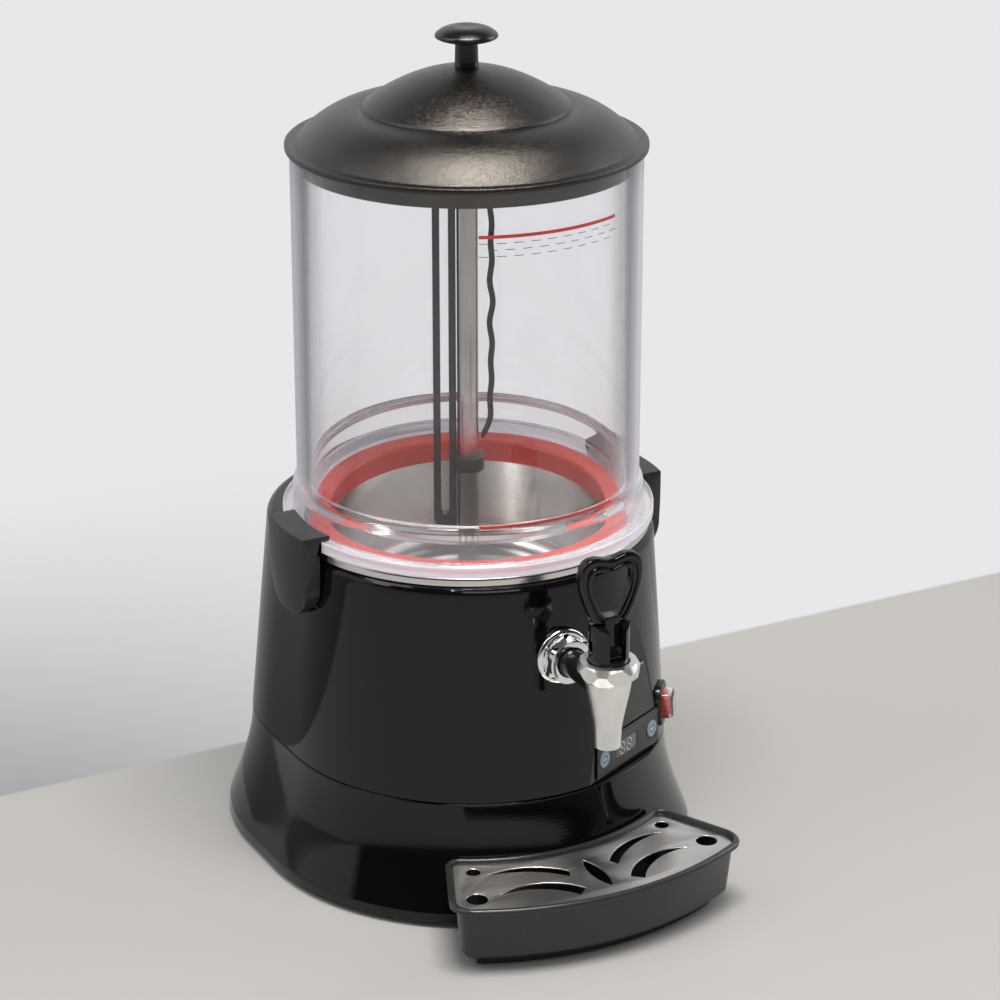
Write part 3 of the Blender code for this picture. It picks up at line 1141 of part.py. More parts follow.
def control_facet():
    """The panel with its window and buttons, and above it a plate with nothing on it."""
    middle = PANEL_Z
    outline = [(x, z + middle) for x, z in rounded_rectangle(PANEL_WIDTH, PANEL_HEIGHT, PANEL_SHEET)]
    panel = on_facet(outline, GAP, GAP + PANEL_SHEET)
    window = rounded_rectangle(WINDOW_WIDTH, WINDOW_HEIGHT, PANEL_SHEET)
    window = [(x + WINDOW_OFFSET, z + middle) for x, z in window]
    opening = on_facet(window, -OVERRUN, OVERRUN)
    holes = []
    for side in (-1, 1):
        holes.append(facet_rod(BUTTON_RADIUS + GAP, side * BUTTON_SPREAD, middle, -OVERRUN, OVERRUN))
    piece("control_panel", cut(panel, opening, *holes), "panel_grey")
    pane = rounded_rectangle(WINDOW_WIDTH - 2 * GAP, WINDOW_HEIGHT - 2 * GAP, PANEL_SHEET)
    pane = [(x + WINDOW_OFFSET, z + middle) for x, z in pane]
    piece("display_window", on_facet(pane, GAP, GAP + PANEL_SHEET + WINDOW_PROUD), "clear_plastic")
    for name, side in (("button_left", -1), ("button_right", 1)):
        across = side * BUTTON_SPREAD
        face = GAP + PANEL_SHEET + BUTTON_PROUD
        cap = facet_rod(BUTTON_RADIUS, across, middle, BUTTON_TRAVEL + GAP, face)
        stem = facet_rod(BUTTON_STEM, across, middle, BUTTON_TRAVEL - BOARD_STAND_OFF, face / 2 + BUTTON_TRAVEL / 2)
        piece(name, joined(cap, stem), "button_blue", facet_place(across, middle, 0))
    low = middle + PANEL_HEIGHT / 2 + FACET_MARGIN
    foot = BADGE_FOOT_WIDTH / 2
    top = BADGE_TOP_WIDTH / 2
    corners = [(-foot, low), (foot, low), (top, low + BADGE_HEIGHT), (-top, low + BADGE_HEIGHT)]
    piece("name_plate", on_facet(corners, GAP, GAP + BADGE_SHEET), "panel_grey")


def rocker_switch():
    """A moulded bezel with its body through the casing, a red rocker and a clear splash cover."""
    face = BEZEL_THICKNESS
    frame = on_switch(prism(rounded_rectangle(BEZEL_WIDTH, BEZEL_HEIGHT, BEZEL_CORNER), -OVERRUN, face))
    frame = cut(frame, housing_solid(GAP, SEAM_Z, DECK_Z))
    inner_width = BEZEL_WIDTH - 2 * SWITCH_WALL
    inner_height = BEZEL_HEIGHT - 2 * SWITCH_WALL
    size = (inner_width - 2 * GAP, inner_height - 2 * GAP, SWITCH_DEPTH)
    body = on_switch(block(size, (0, 0, face - GAP - SWITCH_DEPTH / 2)))
    well_width = inner_width - SWITCH_WALL
    well_height = inner_height - SWITCH_WALL
    well = on_switch(block((well_width, well_height, SWITCH_DEPTH), (0, 0, face)))
    piece("switch_bezel", cut(joined(frame, body), well), "black_satin")
    rocker_switch_cap(face, well_width, well_height)
    mid = face + SWITCH_COVER_PROUD - SWITCH_WALL / 2
    loops = []
    for z, drawn_in in ((face + GAP, 0), (mid, GAP), (face + SWITCH_COVER_PROUD, SWITCH_COVER_WALL)):
        outline = rounded_rectangle(inner_width - 2 * drawn_in, inner_height - 2 * drawn_in, SWITCH_WALL)
        loops.append([(x, y, z) for x, y in outline])
    hollow_width = inner_width - 4 * SWITCH_COVER_WALL
    hollow_height = inner_height - 4 * SWITCH_COVER_WALL
    hollow_depth = SWITCH_COVER_PROUD - SWITCH_COVER_WALL
    hollow = block((hollow_width, hollow_height, 2 * hollow_depth), (0, 0, face))
    piece("switch_cover", on_switch(cut(loft(loops), hollow)), "clear_plastic")


# The rocker's underside and face seen from the side, as shares of its half length and of its depth or height
ROCKER_FOOT_SHARES = ((-0.8, -0.5), (0, -1), (0.8, -0.5))
ROCKER_FACE_SHARES = ((1, 0.5), (0, 0.65), (-1, 1))


def rocker_switch_cap(face, well_width, well_height):
    """The red rocker, shown with its lower end out. Its underside is a blunt wedge that it rocks on."""
    place, out = switch_frame()
    half = well_height / 2 - 2 * RUNNING_GAP
    sink = SWITCH_DEPTH / 2 - 3 * RUNNING_GAP
    profile = [(half * across, sink * up) for across, up in ROCKER_FOOT_SHARES]
    profile += [(half * across, ROCKER_HEIGHT * up) for across, up in ROCKER_FACE_SHARES]
    half_width = well_width / 2 - RUNNING_GAP
    rocker = along_x(prism(profile, -half_width, half_width), (0, 0, face))
    piece("switch_rocker", on_switch(rocker), "red_plastic", place + out * face)


# Bowl clips


def bowl_clip(name, side):
    """A hooked clip that follows the bowl's round: its lip lies on the flange, its cheeks turn on a pin."""
    lip_low = FLANGE_TOP_Z + GAP
    top = lip_low + CLIP_LIP_THICKNESS
    pin_z = CLIP_PIN_Z
    bend_z = DECK_Z - CLIP_LIP_THICKNESS
    edge = CLIP_EDGE
    shoulder = FLANGE_RADIUS + 2 * RUNNING_GAP
    outline = [(CLIP_LIP_INNER, lip_low), (CLIP_LIP_INNER, top), (CLIP_TOP_REACH - edge, top)]
    outline += [(CLIP_TOP_REACH, top - edge), (CLIP_TOP_REACH, bend_z)]
    for k in range(2 * CORNER_STEPS + 1):
        turn = -k / (2 * CORNER_STEPS) * math.pi
        x = CLIP_PIN_REACH + CLIP_TAIL_RADIUS * math.cos(turn)
        outline.append((x, pin_z + CLIP_TAIL_RADIUS * math.sin(turn)))
    outline += [(shoulder, bend_z), (shoulder, lip_low)]
    solid = side_plate(outline, side, CLIP_WIDTH / 2)
    inner_top = CLIP_TOP_REACH - CLIP_WALL
    inner_foot = CLIP_PIN_REACH + CLIP_LUG_RADIUS + RUNNING_GAP
    low = pin_z - OVERRUN
    hollow = [(0, lip_low), (inner_top, lip_low), (inner_top, bend_z), (inner_foot, pin_z), (inner_foot, low), (0, low)]
    hollow = side_plate(hollow, side, CLIP_WIDTH / 2 - CLIP_CHEEK)
    around = 2 * ROUND_STEPS
    flange = rod(FLANGE_RADIUS + RUNNING_GAP, (0, 0, lip_low - OVERRUN), (0, 0, lip_low), around)
    socket = rod(SOCKET_RADIUS + RUNNING_GAP, (0, 0, lip_low - OVERRUN), (0, 0, top + OVERRUN), around)
    ends = [(side * CLIP_PIN_REACH, y, pin_z) for y in (-CLIP_WIDTH, CLIP_WIDTH)]
    eye = rod(CLIP_PIN_RADIUS + GAP, *ends)
    corners = clip_corner_cutters(side, pin_z - CLIP_TAIL_RADIUS)
    around_bowl = rod(CLIP_TOP_REACH, (0, 0, low), (0, 0, top + OVERRUN), around)
    solid = combined(solid, [around_bowl], "INTERSECT")
    solid = cut(solid, hollow, flange, socket, eye, *corners)
    piece("clip_" + name, solid, "black_satin", (side * CLIP_PIN_REACH, 0, pin_z))


def side_plate(outline, side, half_width):
    """An outline of (distance from the middle, height), carried along Y to both sides of the clip's middle."""
    plate = along_y(prism([(side * x, z) for x, z in outline], -half_width, half_width))
    bmesh.ops.recalc_face_normals(plate, faces=plate.faces)
    return plate


def clip_corner_cutters(side, low):
    """Blocks with a hollow round side, which leave the clip's lower corners rounded as seen from the side."""
    radius = CLIP_CORNER
    edge = CLIP_WIDTH / 2 + OVERRUN
    cutters = []
    for end in (-1, 1):
        corner = [(end * edge, low - OVERRUN), (end * (CLIP_WIDTH / 2 - radius), low - OVERRUN)]
        for k in range(2 * CORNER_STEPS + 1):
            turn = -math.pi / 2 + k / (2 * CORNER_STEPS) * math.pi / 2
            y = end * (CLIP_WIDTH / 2 - radius + radius * math.cos(turn))
            corner.append((y, low + radius + radius * math.sin(turn)))
        corner.append((end * edge, low + radius))
        ends = sorted((side * CLIP_LIP_INNER, side * (CLIP_TOP_REACH + OVERRUN)))
        cutter = along_x(prism(corner, *ends))
        bmesh.ops.recalc_face_normals(cutter, faces=cutter.faces)
        cutters.append(cutter)
    return cutters


def clip_mount(name, side):
    """The lug on the casing's side that holds the clip's pin, and the pin."""
    place = side * CLIP_PIN_REACH
    half = CLIP_WIDTH / 2 - CLIP_CHEEK - CLIP_LUG_INSET
    knuckle = rod(CLIP_LUG_RADIUS, (place, -half, CLIP_PIN_Z), (place, half, CLIP_PIN_Z))
    web_size = (2 * CLIP_PIN_STAND_OFF, 2 * half, 2 * CLIP_LUG_RADIUS)
    web = block(web_size, (place - side * CLIP_PIN_STAND_OFF, 0, CLIP_PIN_Z))
    casing = housing_solid(GAP, SEAM_Z, DECK_Z)
    bore = rod(CLIP_PIN_RADIUS + GAP, (place, -CLIP_WIDTH, CLIP_PIN_Z), (place, CLIP_WIDTH, CLIP_PIN_Z))
    piece("clip_mount_" + name, cut(joined(knuckle, web), casing, bore), "black_satin")
    reach_y = CLIP_WIDTH / 2 - CLIP_CHEEK / 2
    pin = rod(CLIP_PIN_RADIUS, (place, -reach_y, CLIP_PIN_Z), (place, reach_y, CLIP_PIN_Z))
    piece("clip_pin_" + name, pin, "steel")


# Drip tray


def tray_side_line(inset):
    """A point on the tray's right side and its direction, away from the machine."""
    along = Vector((math.sin(TRAY_SIDE_ANGLE), -math.cos(TRAY_SIDE_ANGLE)))
    inward = Vector((-along.y, along.x)) * -1
    start = Vector((TRAY_SIDE_HALF, 0)) + inward * inset
    return start, along, inward


def side_at_radius(start, along, radius):
    """Where the side line, or a line beside it, meets a circle about the bowl's axis."""
    half_b = start.dot(along)
    distance = -half_b + math.sqrt(half_b**2 - start.length_squared + radius**2)
    return start + along * distance


def corner_arc(middle, radius, first, last):
    """Points on a corner's rounding between two directions."""
    begin = math.atan2(first.y, first.x)
    end = math.atan2(last.y, last.x)
    sweep = (end - begin + math.pi) % (2 * math.pi) - math.pi
    turns = [begin + sweep * k / CORNER_STEPS for k in range(CORNER_STEPS + 1)]
    return [(middle.x + radius * math.cos(t), middle.y + radius * math.sin(t)) for t in turns]


def tray_outline(inset, rear_inset=None):
    """The tray's plan, drawn in by inset: two arcs about the bowl's axis, two splayed sides, round corners."""
    rear_inset = inset if rear_inset is None else rear_inset
    outer = TRAY_OUTER - inset
    inner = TRAY_INNER + rear_inset
    outer_corner = max(TRAY_OUTER_CORNER - inset, TRAY_LEAST_CORNER)
    inner_corner = max(TRAY_INNER_CORNER - inset, TRAY_LEAST_CORNER)
    start, along, inward = tray_side_line(inset)
    far = side_at_radius(start + inward * outer_corner, along, outer - outer_corner)
    near = side_at_radius(start + inward * inner_corner, along, inner + inner_corner)
    front_corner = corner_arc(far, outer_corner, far.normalized(), -inward)
    rear_corner = corner_arc(near, inner_corner, -inward, -near.normalized())
    reach = math.atan2(far.x, -far.y)
    rear_reach = math.atan2(near.x, -near.y)
    steps = [k / TRAY_ARC_STEPS for k in range(TRAY_ARC_STEPS)]
    front = [(outer * math.sin(reach * k), -outer * math.cos(reach * k)) for k in steps]
    rear = [(inner * math.sin(rear_reach * k), -inner * math.cos(rear_reach * k)) for k in reversed(steps)]
    right = front + front_corner + rear_corner + rear
    return right + [(-x, y) for x, y in reversed(right[1:-1])]


def drip_tray():
    """A moulded pan on a recessed plinth, with a rolled rim and a ledge that carries the grid."""
    low = TRAY_GROUND_GAP
    rim_low = TRAY_TOP - TRAY_RIM_DEPTH
    wall = TRAY_WALL
    side = TRAY_RIM_WIDTH
    rear = wall
    foot_side = side + TRAY_DRAFT
    foot_rear = rear + TRAY_REAR_DRAFT
    ledge_z = TRAY_TOP - GRID_SINK - GRID_SHEET - GAP

    def ring(inset, rear_inset, z):
        return [(x, y, z) for x, y in tray_outline(inset, rear_inset)]

    plinth = TRAY_PLINTH_INSET
    loops = [
        ring(foot_side + plinth, foot_rear + plinth, 0),
        ring(foot_side + plinth, foot_rear + plinth, low),
        ring(foot_side + wall, foot_rear + wall, low),
        ring(foot_side, foot_rear, low + wall),
        ring(side, rear, rim_low),
        ring(wall / 4, wall / 4, rim_low),
        ring(0, 0, rim_low + wall / 2),
        ring(0, 0, TRAY_TOP - wall / 4),
        ring(wall / 4, wall / 4, TRAY_TOP),
        ring(side - wall / 2, side - wall / 2, TRAY_TOP),
        ring(side, side, TRAY_TOP - wall / 2),
        ring(side, side, ledge_z),
        ring(side + GRID_LEDGE, side + GRID_LEDGE, ledge_z),
        ring(side + GRID_LEDGE + wall / 2, side + GRID_LEDGE + wall / 2, ledge_z - wall),
        ring(foot_side + wall * 2, foot_rear + wall, low + wall * 2),
        ring(foot_side + wall * 3, foot_rear + wall * 2, low + wall),
    ]
    piece("drip_tray", loft(loops), "black_satin")


def arc_through(first, middle, last, steps=GRID_ARC_STEPS):
    """Points on the circle through three points, from the first to the last."""
    a, b, c = (Vector(p) for p in (first, middle, last))
    d = 2 * (a.x * (b.y - c.y) + b.x * (c.y - a.y) + c.x * (a.y - b.y))
    sa, sb, sc = a.length_squared, b.length_squared, c.length_squared
    x = (sa * (b.y - c.y) + sb * (c.y - a.y) + sc * (a.y - b.y)) / d
    y = (sa * (c.x - b.x) + sb * (a.x - c.x) + sc * (b.x - a.x)) / d
    centre = Vector((x, y))
    radius = (a - centre).length
    begin, mid, end = (math.atan2((p - centre).y, (p - centre).x) for p in (a, b, c))
    sweep = (end - begin) % (2 * math.pi)
    if (mid - begin) % (2 * math.pi) > sweep:
        sweep -= 2 * math.pi
    turns = [begin + sweep * k / steps for k in range(steps + 1)]
    return [(x + radius * math.cos(t), y + radius * math.sin(t)) for t in turns]


# Each crescent as shares of the grid: (angle as a share of its half angle, depth from its inner edge)
INNER_CRESCENT_SHARES = ((0.81, 0.245), (0.50, 0.13), (0.175, 0.34), (0.20, 0.45), (0.46, 0.235))
OUTER_CRESCENT_SHARES = ((0.74, 0.655), (0.49, 0.49), (0.17, 0.735), (0.235, 0.84), (0.47, 0.61))
ROUND_HOLE_SHARES = ((0.92, 0.165), (0.90, 0.735))
LEAF_SHARES = ((0.19, 0.0), (0.50, 0.075), (0.80, 0.0))


def grid_point(share, edge):
    turn = share[0] * GRID_HALF_ANGLE
    radius = edge[0] + share[1] * (edge[1] - edge[0])
    return (radius * math.sin(turn), -radius * math.cos(turn))


def drip_grid():
    """A stamped steel plate: round holes at the corners, crescents and a leaf that drain the drips."""
    inset = TRAY_RIM_WIDTH + GAP
    low = TRAY_TOP - GRID_SINK - GRID_SHEET
    plate = prism(tray_outline(inset), low, low + GRID_SHEET)
    edge = (TRAY_INNER + inset, TRAY_OUTER - inset)
    cutters = []
    for side in (-1, 1):
        for shares in (INNER_CRESCENT_SHARES, OUTER_CRESCENT_SHARES):
            tip, outer_mid, end, inner_end, inner_mid = (grid_point(s, edge) for s in shares)
            outline = arc_through(tip, outer_mid, end) + arc_through(inner_end, inner_mid, tip)[:-1]
            slot = prism([(side * x, y) for x, y in outline], low - OVERRUN, low + OVERRUN)
            bmesh.ops.recalc_face_normals(slot, faces=slot.faces)
            cutters.append(slot)
        for share, radius in zip(ROUND_HOLE_SHARES, (GRID_HOLE_RADIUS, GRID_FRONT_HOLE_RADIUS)):
            x, y = grid_point(share, edge)
            cutters.append(rod(radius, (side * x, y, low - OVERRUN), (side * x, y, low + OVERRUN)))
    tip, mid, foot = (edge[0] + s * (edge[1] - edge[0]) for s, _ in LEAF_SHARES)
    bulge = LEAF_SHARES[1][1] * (edge[1] - edge[0])
    leaf = arc_through((0, -tip), (bulge, -mid), (0, -foot)) + arc_through((0, -foot), (-bulge, -mid), (0, -tip))[1:-1]
    cutters.append(prism(leaf, low - OVERRUN, low + OVERRUN))
    piece("drip_grid", cut(plate, *cutters), "satin_steel")


def main():
    global MACHINE
    clear_scene()
    MACHINE = bpy.data.objects.new("machine", None)
    MACHINE.location = (0, AXIS_Y, 0)
    bpy.context.collection.objects.link(MACHINE)
    base_shell()
    upper_housing()
    base_plate_and_feet()
    tank()
    water_bath()
    heater_and_probe()
    centre_tube()
    drive()
    electrics()
    bowl()
    gasket()
    lid()
    knob_and_screw()
    stirrer_frame()
    stirrer_collar()
    stirrer_strip()
    tap_mounting()
    tap_body()
    tap_bonnet()
    tap_stem_and_pin()
    tap_lever()
    control_facet()
    rocker_switch()
    for name, side in (("left", -1), ("right", 1)):
        bowl_clip(name, side)
        clip_mount(name, side)
    drip_tray()
    drip_grid()


main()
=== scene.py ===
"""How a ten litre hot chocolate dispenser looks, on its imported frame. Metres, front towards -Y."""

from math import radians

import bmesh
import bpy
import numpy as np
from mathutils import Matrix, Vector


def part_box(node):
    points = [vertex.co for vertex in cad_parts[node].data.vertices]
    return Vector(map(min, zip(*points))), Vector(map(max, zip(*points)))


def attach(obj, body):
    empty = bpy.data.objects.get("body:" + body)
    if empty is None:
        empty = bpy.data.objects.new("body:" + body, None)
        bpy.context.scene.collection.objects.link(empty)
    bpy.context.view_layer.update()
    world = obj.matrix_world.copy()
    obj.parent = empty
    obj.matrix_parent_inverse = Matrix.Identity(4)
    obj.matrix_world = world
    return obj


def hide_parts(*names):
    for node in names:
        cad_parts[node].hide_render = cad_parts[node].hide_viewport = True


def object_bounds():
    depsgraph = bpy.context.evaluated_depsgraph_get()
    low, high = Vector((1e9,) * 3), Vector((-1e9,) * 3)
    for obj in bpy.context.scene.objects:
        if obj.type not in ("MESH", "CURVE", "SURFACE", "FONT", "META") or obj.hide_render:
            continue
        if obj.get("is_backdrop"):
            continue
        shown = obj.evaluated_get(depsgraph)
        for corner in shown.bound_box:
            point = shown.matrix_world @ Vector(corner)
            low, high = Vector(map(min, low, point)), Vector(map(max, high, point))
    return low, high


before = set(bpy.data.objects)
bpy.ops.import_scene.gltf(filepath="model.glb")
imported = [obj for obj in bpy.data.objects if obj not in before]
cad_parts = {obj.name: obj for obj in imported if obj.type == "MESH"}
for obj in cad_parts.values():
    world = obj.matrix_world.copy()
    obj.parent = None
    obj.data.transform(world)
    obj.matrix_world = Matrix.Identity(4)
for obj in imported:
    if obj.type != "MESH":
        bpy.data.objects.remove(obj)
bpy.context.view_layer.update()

# Base plate and feet
# A folded zinc-coated sheet closes the machine below and carries four round feet. The feet are moulded
# from black rubber, a little tapered, with a hollow underneath, and are pushed on from below.


def node(tree, kind, inputs=None, **settings):
    """Adds a node with these settings. Each of its inputs takes a value or another node's output."""
    made = tree.nodes.new(kind)
    for key, value in settings.items():
        setattr(made, key, value)
    for key, value in (inputs or {}).items():
        if isinstance(value, bpy.types.NodeSocket):
            tree.links.new(value, made.inputs[key])
        else:
            made.inputs[key].default_value = value
    return made


def between(tree, value, low, high, out_low=0.0, out_high=1.0):
    """A value moved in a straight line from one range to another and held inside it."""
    return node(tree, "ShaderNodeMapRange", {0: value, 1: low, 2: high, 3: out_low, 4: out_high}).outputs[0]


def sum_of(tree, first, operation, second):
    return node(tree, "ShaderNodeMath", {0: first, 1: second}, operation=operation).outputs[0]


def product(tree, first, second):
    return sum_of(tree, first, "MULTIPLY", second)


def vector_of(tree, first, operation, second=(0, 0, 0)):
    return node(tree, "ShaderNodeVectorMath", {0: first, 1: second}, operation=operation).outputs[0]


def blend_of(tree, share, first, second):
    """Two colours mixed by a share."""
    return node(tree, "ShaderNodeMix", {0: share, 6: first, 7: second}, data_type="RGBA").outputs[2]


def noise(tree, vector, scale, detail):
    return node(tree, "ShaderNodeTexNoise", {"Vector": vector, "Scale": scale, "Detail": detail}).outputs[0]


def effect(name, inputs):
    """A group with these inputs (kind and value) that gives a colour, a roughness and a normal."""
    tree = bpy.data.node_groups.new(name, "ShaderNodeTree")
    for title, (kind, value) in inputs.items():
        tree.interface.new_socket(title, in_out="INPUT", socket_type=kind).default_value = value
    for title, kind in (("Color", TONE), ("Roughness", NUMBER), ("Normal", ARROW)):
        tree.interface.new_socket(title, in_out="OUTPUT", socket_type=kind)
    return tree, tree.nodes.new("NodeGroupInput").outputs, tree.nodes.new("NodeGroupOutput").inputs


def give(tree, result, color, roughness, depth, height):
    """Links a group's results. The normal is bent by a height of this depth."""
    tree.links.new(color, result["Color"])
    tree.links.new(roughness, result["Roughness"])
    lifted = node(tree, "ShaderNodeBump", {"Strength": 1.0, "Distance": depth, "Height": height}).outputs[0]
    tree.links.new(lifted, result["Normal"])
    return tree


NUMBER, TONE, ARROW = "NodeSocketFloat", "NodeSocketColor", "NodeSocketVector"


def handled_surface():
    """Moulded skin after use: patches change its gloss, a fine grain lifts it and dust lies in specks."""
    tree, given, result = effect("handled_surface", {
        "Tone": (TONE, (0.02, 0.02, 0.02, 1)), "Dust Tone": (TONE, (0.3, 0.29, 0.27, 1)),
        "Roughness": (NUMBER, 0.3), "Patches": (NUMBER, 0.1), "Grain": (NUMBER, 900.0),
        "Depth": (NUMBER, 0.00002), "Dust": (NUMBER, 0.1), "Shift": (NUMBER, 0.15)})
    place = node(tree, "ShaderNodeTexCoord").outputs["Object"]
    broad, specks = noise(tree, place, 16.0, 4.0), noise(tree, place, 620.0, 1.0)
    fine = noise(tree, place, given["Grain"], 2.0)
    dust = product(tree, between(tree, specks, 0.70, 0.78), between(tree, broad, 0.42, 0.68))
    dust = product(tree, dust, given["Dust"])
    darker = node(tree, "ShaderNodeHueSaturation", {"Value": 0.6, "Color": given["Tone"]}).outputs[0]
    swing = product(tree, between(tree, broad, 0.3, 0.7), given["Shift"])
    toned = blend_of(tree, swing, given["Tone"], darker)
    change = product(tree, between(tree, broad, 0.3, 0.7, -1.0, 1.0), given["Patches"])
    rough = sum_of(tree, sum_of(tree, given["Roughness"], "ADD", change), "ADD", dust)
    return give(tree, result, blend_of(tree, dust, toned, given["Dust Tone"]), rough, given["Depth"], fine)


def worked_metal():
    """Metal with tool marks: noise drawn out along the marks varies its tone, gloss and height."""
    tree, given, result = effect("worked_metal", {
        "Vector": (ARROW, (0, 0, 0)), "Tone": (TONE, (0.6, 0.6, 0.6, 1)),
        "Dark Tone": (TONE, (0.4, 0.4, 0.4, 1)), "Roughness": (NUMBER, 0.25),
        "Spread": (NUMBER, 0.1), "Depth": (NUMBER, 0.00001)})
    place = node(tree, "ShaderNodeTexCoord").outputs["Object"]
    marks, smears = noise(tree, given["Vector"], 1.0, 3.0), noise(tree, place, 24.0, 3.0)
    shade = product(tree, between(tree, marks, 0.35, 0.65), 0.6)
    shade = sum_of(tree, shade, "ADD", between(tree, smears, 0.3, 0.7, 0.0, 0.4))
    change = product(tree, sum_of(tree, shade, "SUBTRACT", 0.5), given["Spread"])
    rough = sum_of(tree, given["Roughness"], "ADD", change)
    return give(tree, result, blend_of(tree, shade, given["Tone"], given["Dark Tone"]), rough, given["Depth"],
                marks)


HANDLED, WORKED = handled_surface(), worked_metal()


def surfaced(name, group, values, sockets):
    """A material that takes its surface from a group with these inputs, and the group's node in it.

    Further sockets of its shader are given by name.
    """
    made = bpy.data.materials.new(name)
    made.use_nodes = True
    tree = made.node_tree
    shader = tree.nodes["Principled BSDF"]
    surface = node(tree, "ShaderNodeGroup", values, node_tree=group)
    for title, socket in (("Color", "Base Color"), ("Roughness", "Roughness"), ("Normal", "Normal")):
        tree.links.new(surface.outputs[title], shader.inputs[socket])
    for title, value in sockets.items():
        shader.inputs[title.replace("_", " ").title().replace("Ior", "IOR")].default_value = value
    return made, surface


def moulded(name, tone, roughness, patches=0.08, grain=900.0, depth=0.00002, dust=0.1, shift=0.15,
            dust_tone=(0.3, 0.29, 0.27), **sockets):
    """A moulded plastic or rubber of this tone."""
    values = {"Tone": (*tone, 1), "Dust Tone": (*dust_tone, 1), "Roughness": roughness, "Patches": patches,
              "Grain": grain, "Depth": depth, "Dust": dust, "Shift": shift}
    return surfaced(name, HANDLED, values, sockets)[0]


axis_low, axis_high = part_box("centre_tube")
MIDDLE = ((axis_low + axis_high) / 2).xy


def marked_metal(name, tone, dark_tone, roughness, spread=0.1, depth=0.00001, marks=(900, 900, 900),
                 spun=False, **sockets):
    """A metal whose marks run along the axis of the smallest scale, or round the bowl's axis where spun."""
    values = {"Tone": (*tone, 1), "Dark Tone": (*dark_tone, 1), "Roughness": roughness, "Spread": spread,
              "Depth": depth}
    made, surface = surfaced(name, WORKED, values, {"metallic": 1, **sockets})
    tree = made.node_tree
    place = node(tree, "ShaderNodeTexCoord").outputs["Object"]
    vector = vector_of(tree, place, "MULTIPLY", marks)
    if spun:
        centred = vector_of(tree, place, "SUBTRACT", (*MIDDLE, 0))
        flat = vector_of(tree, centred, "MULTIPLY", (1, 1, 0))
        out = node(tree, "ShaderNodeVectorMath", {0: flat}, operation="LENGTH").outputs["Value"]
        rise = node(tree, "ShaderNodeSeparateXYZ", {0: centred}).outputs["Z"]
        level = product(tree, sum_of(tree, out, "ADD", rise), marks[2])
        round_axis = vector_of(tree, vector_of(tree, flat, "NORMALIZE"), "MULTIPLY", (marks[0], marks[0], 0))
        lifted = node(tree, "ShaderNodeCombineXYZ", {2: level}).outputs[0]
        vector = vector_of(tree, round_axis, "ADD", lifted)
    tree.links.new(vector, surface.inputs["Vector"])
    return made


def rounded(corners, reach, steps=6, closed=True):
    """The outline with each corner replaced by a parabola that starts and ends a reach away from it.

    A point on it is (1-s)^2 start + 2s(1-s) corner + s^2 end, for s from 0 to 1.
    """
    corners = np.asarray(corners, float)
    reach = np.broadcast_to(np.asarray(reach, float), len(corners))[:, None]
    back = np.roll(corners, 1, axis=0) - corners
    ahead = np.roll(corners, -1, axis=0) - corners
    back_length = np.linalg.norm(back, axis=1, keepdims=True)
    ahead_length = np.linalg.norm(ahead, axis=1, keepdims=True)
    used = np.minimum(reach, 0.48 * np.minimum(back_length, ahead_length))
    first = corners + back / back_length * used
    last = corners + ahead / ahead_length * used
    s = np.linspace(0, 1, steps + 1)[None, :, None]
    curve = (1 - s) ** 2 * first[:, None] + 2 * s * (1 - s) * corners[:, None] + s**2 * last[:, None]
    if closed:
        return curve.reshape(-1, corners.shape[1])
    inner = curve[1:-1].reshape(-1, corners.shape[1])
    return np.concatenate([corners[:1], inner, corners[-1:]])


def faces_of(grid, joined, capped, start):
    """Quads between neighbouring rows of a grid whose rows close on themselves, and a fan over each end."""
    rows, columns = grid.shape[:2]
    row = np.arange(rows if joined else rows - 1)[:, None]
    column = np.arange(columns)[None, :]
    right, here, there = (column + 1) % columns, row * columns, (row + 1) % rows * columns
    quads = np.stack([here + column, here + right, there + right, there + column], axis=-1)
    faces = (quads.reshape(-1, 4) + start).tolist()
    points = grid.reshape(-1, 3)
    if capped:
        points = np.concatenate([points, grid[:1].mean(axis=1), grid[-1:].mean(axis=1)])
        ring = np.arange(columns)
        after = (ring + 1) % columns
        low = np.stack([after, ring, np.full(columns, rows * columns)], axis=-1)
        last = (rows - 1) * columns
        high = np.stack([last + ring, last + after, np.full(columns, rows * columns + 1)], axis=-1)
        faces += (np.concatenate([low, high]) + start).tolist()
    return points, faces


def skin(name, grids, finish, joined=False, capped=False, crease=30):
    """One closed mesh for each grid of points, all in one object, with its faces pointing outwards."""
    grids = [grids] if isinstance(grids, np.ndarray) else grids
    points, faces = [], []
    for grid in grids:
        new_points, new_faces = faces_of(np.asarray(grid, float), joined, capped, sum(map(len, points)))
        points.append(new_points)
        faces += new_faces
    mesh = bpy.data.meshes.new(name)
    mesh.from_pydata(np.concatenate(points), [], faces)
    return dressed(name, mesh, finish, crease)


def dressed(name, mesh, finish, crease=30):
    """Merges a mesh's doubles, turns its faces outwards, smooths it up to a crease angle and shows it."""
    bm = bmesh.new()
    bm.from_mesh(mesh)
    bmesh.ops.remove_doubles(bm, verts=bm.verts, dist=1e-7)
    bmesh.ops.recalc_face_normals(bm, faces=bm.faces)
    bm.to_mesh(mesh)
    bm.free()
    mesh.shade_smooth()
    mesh.set_sharp_from_angle(angle=radians(crease))
    mesh.materials.append(finish)
    made = bpy.data.objects.new(name, mesh)
    bpy.context.scene.collection.objects.link(made)
    return made


def fitted(piece, body, slot, *nodes):
    """The piece moves with a body and stands for these nodes of the frame, which it hides. Its slot is not
    used.
    """
    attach(piece, body)
    if nodes:
        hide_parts(*nodes)
    return piece


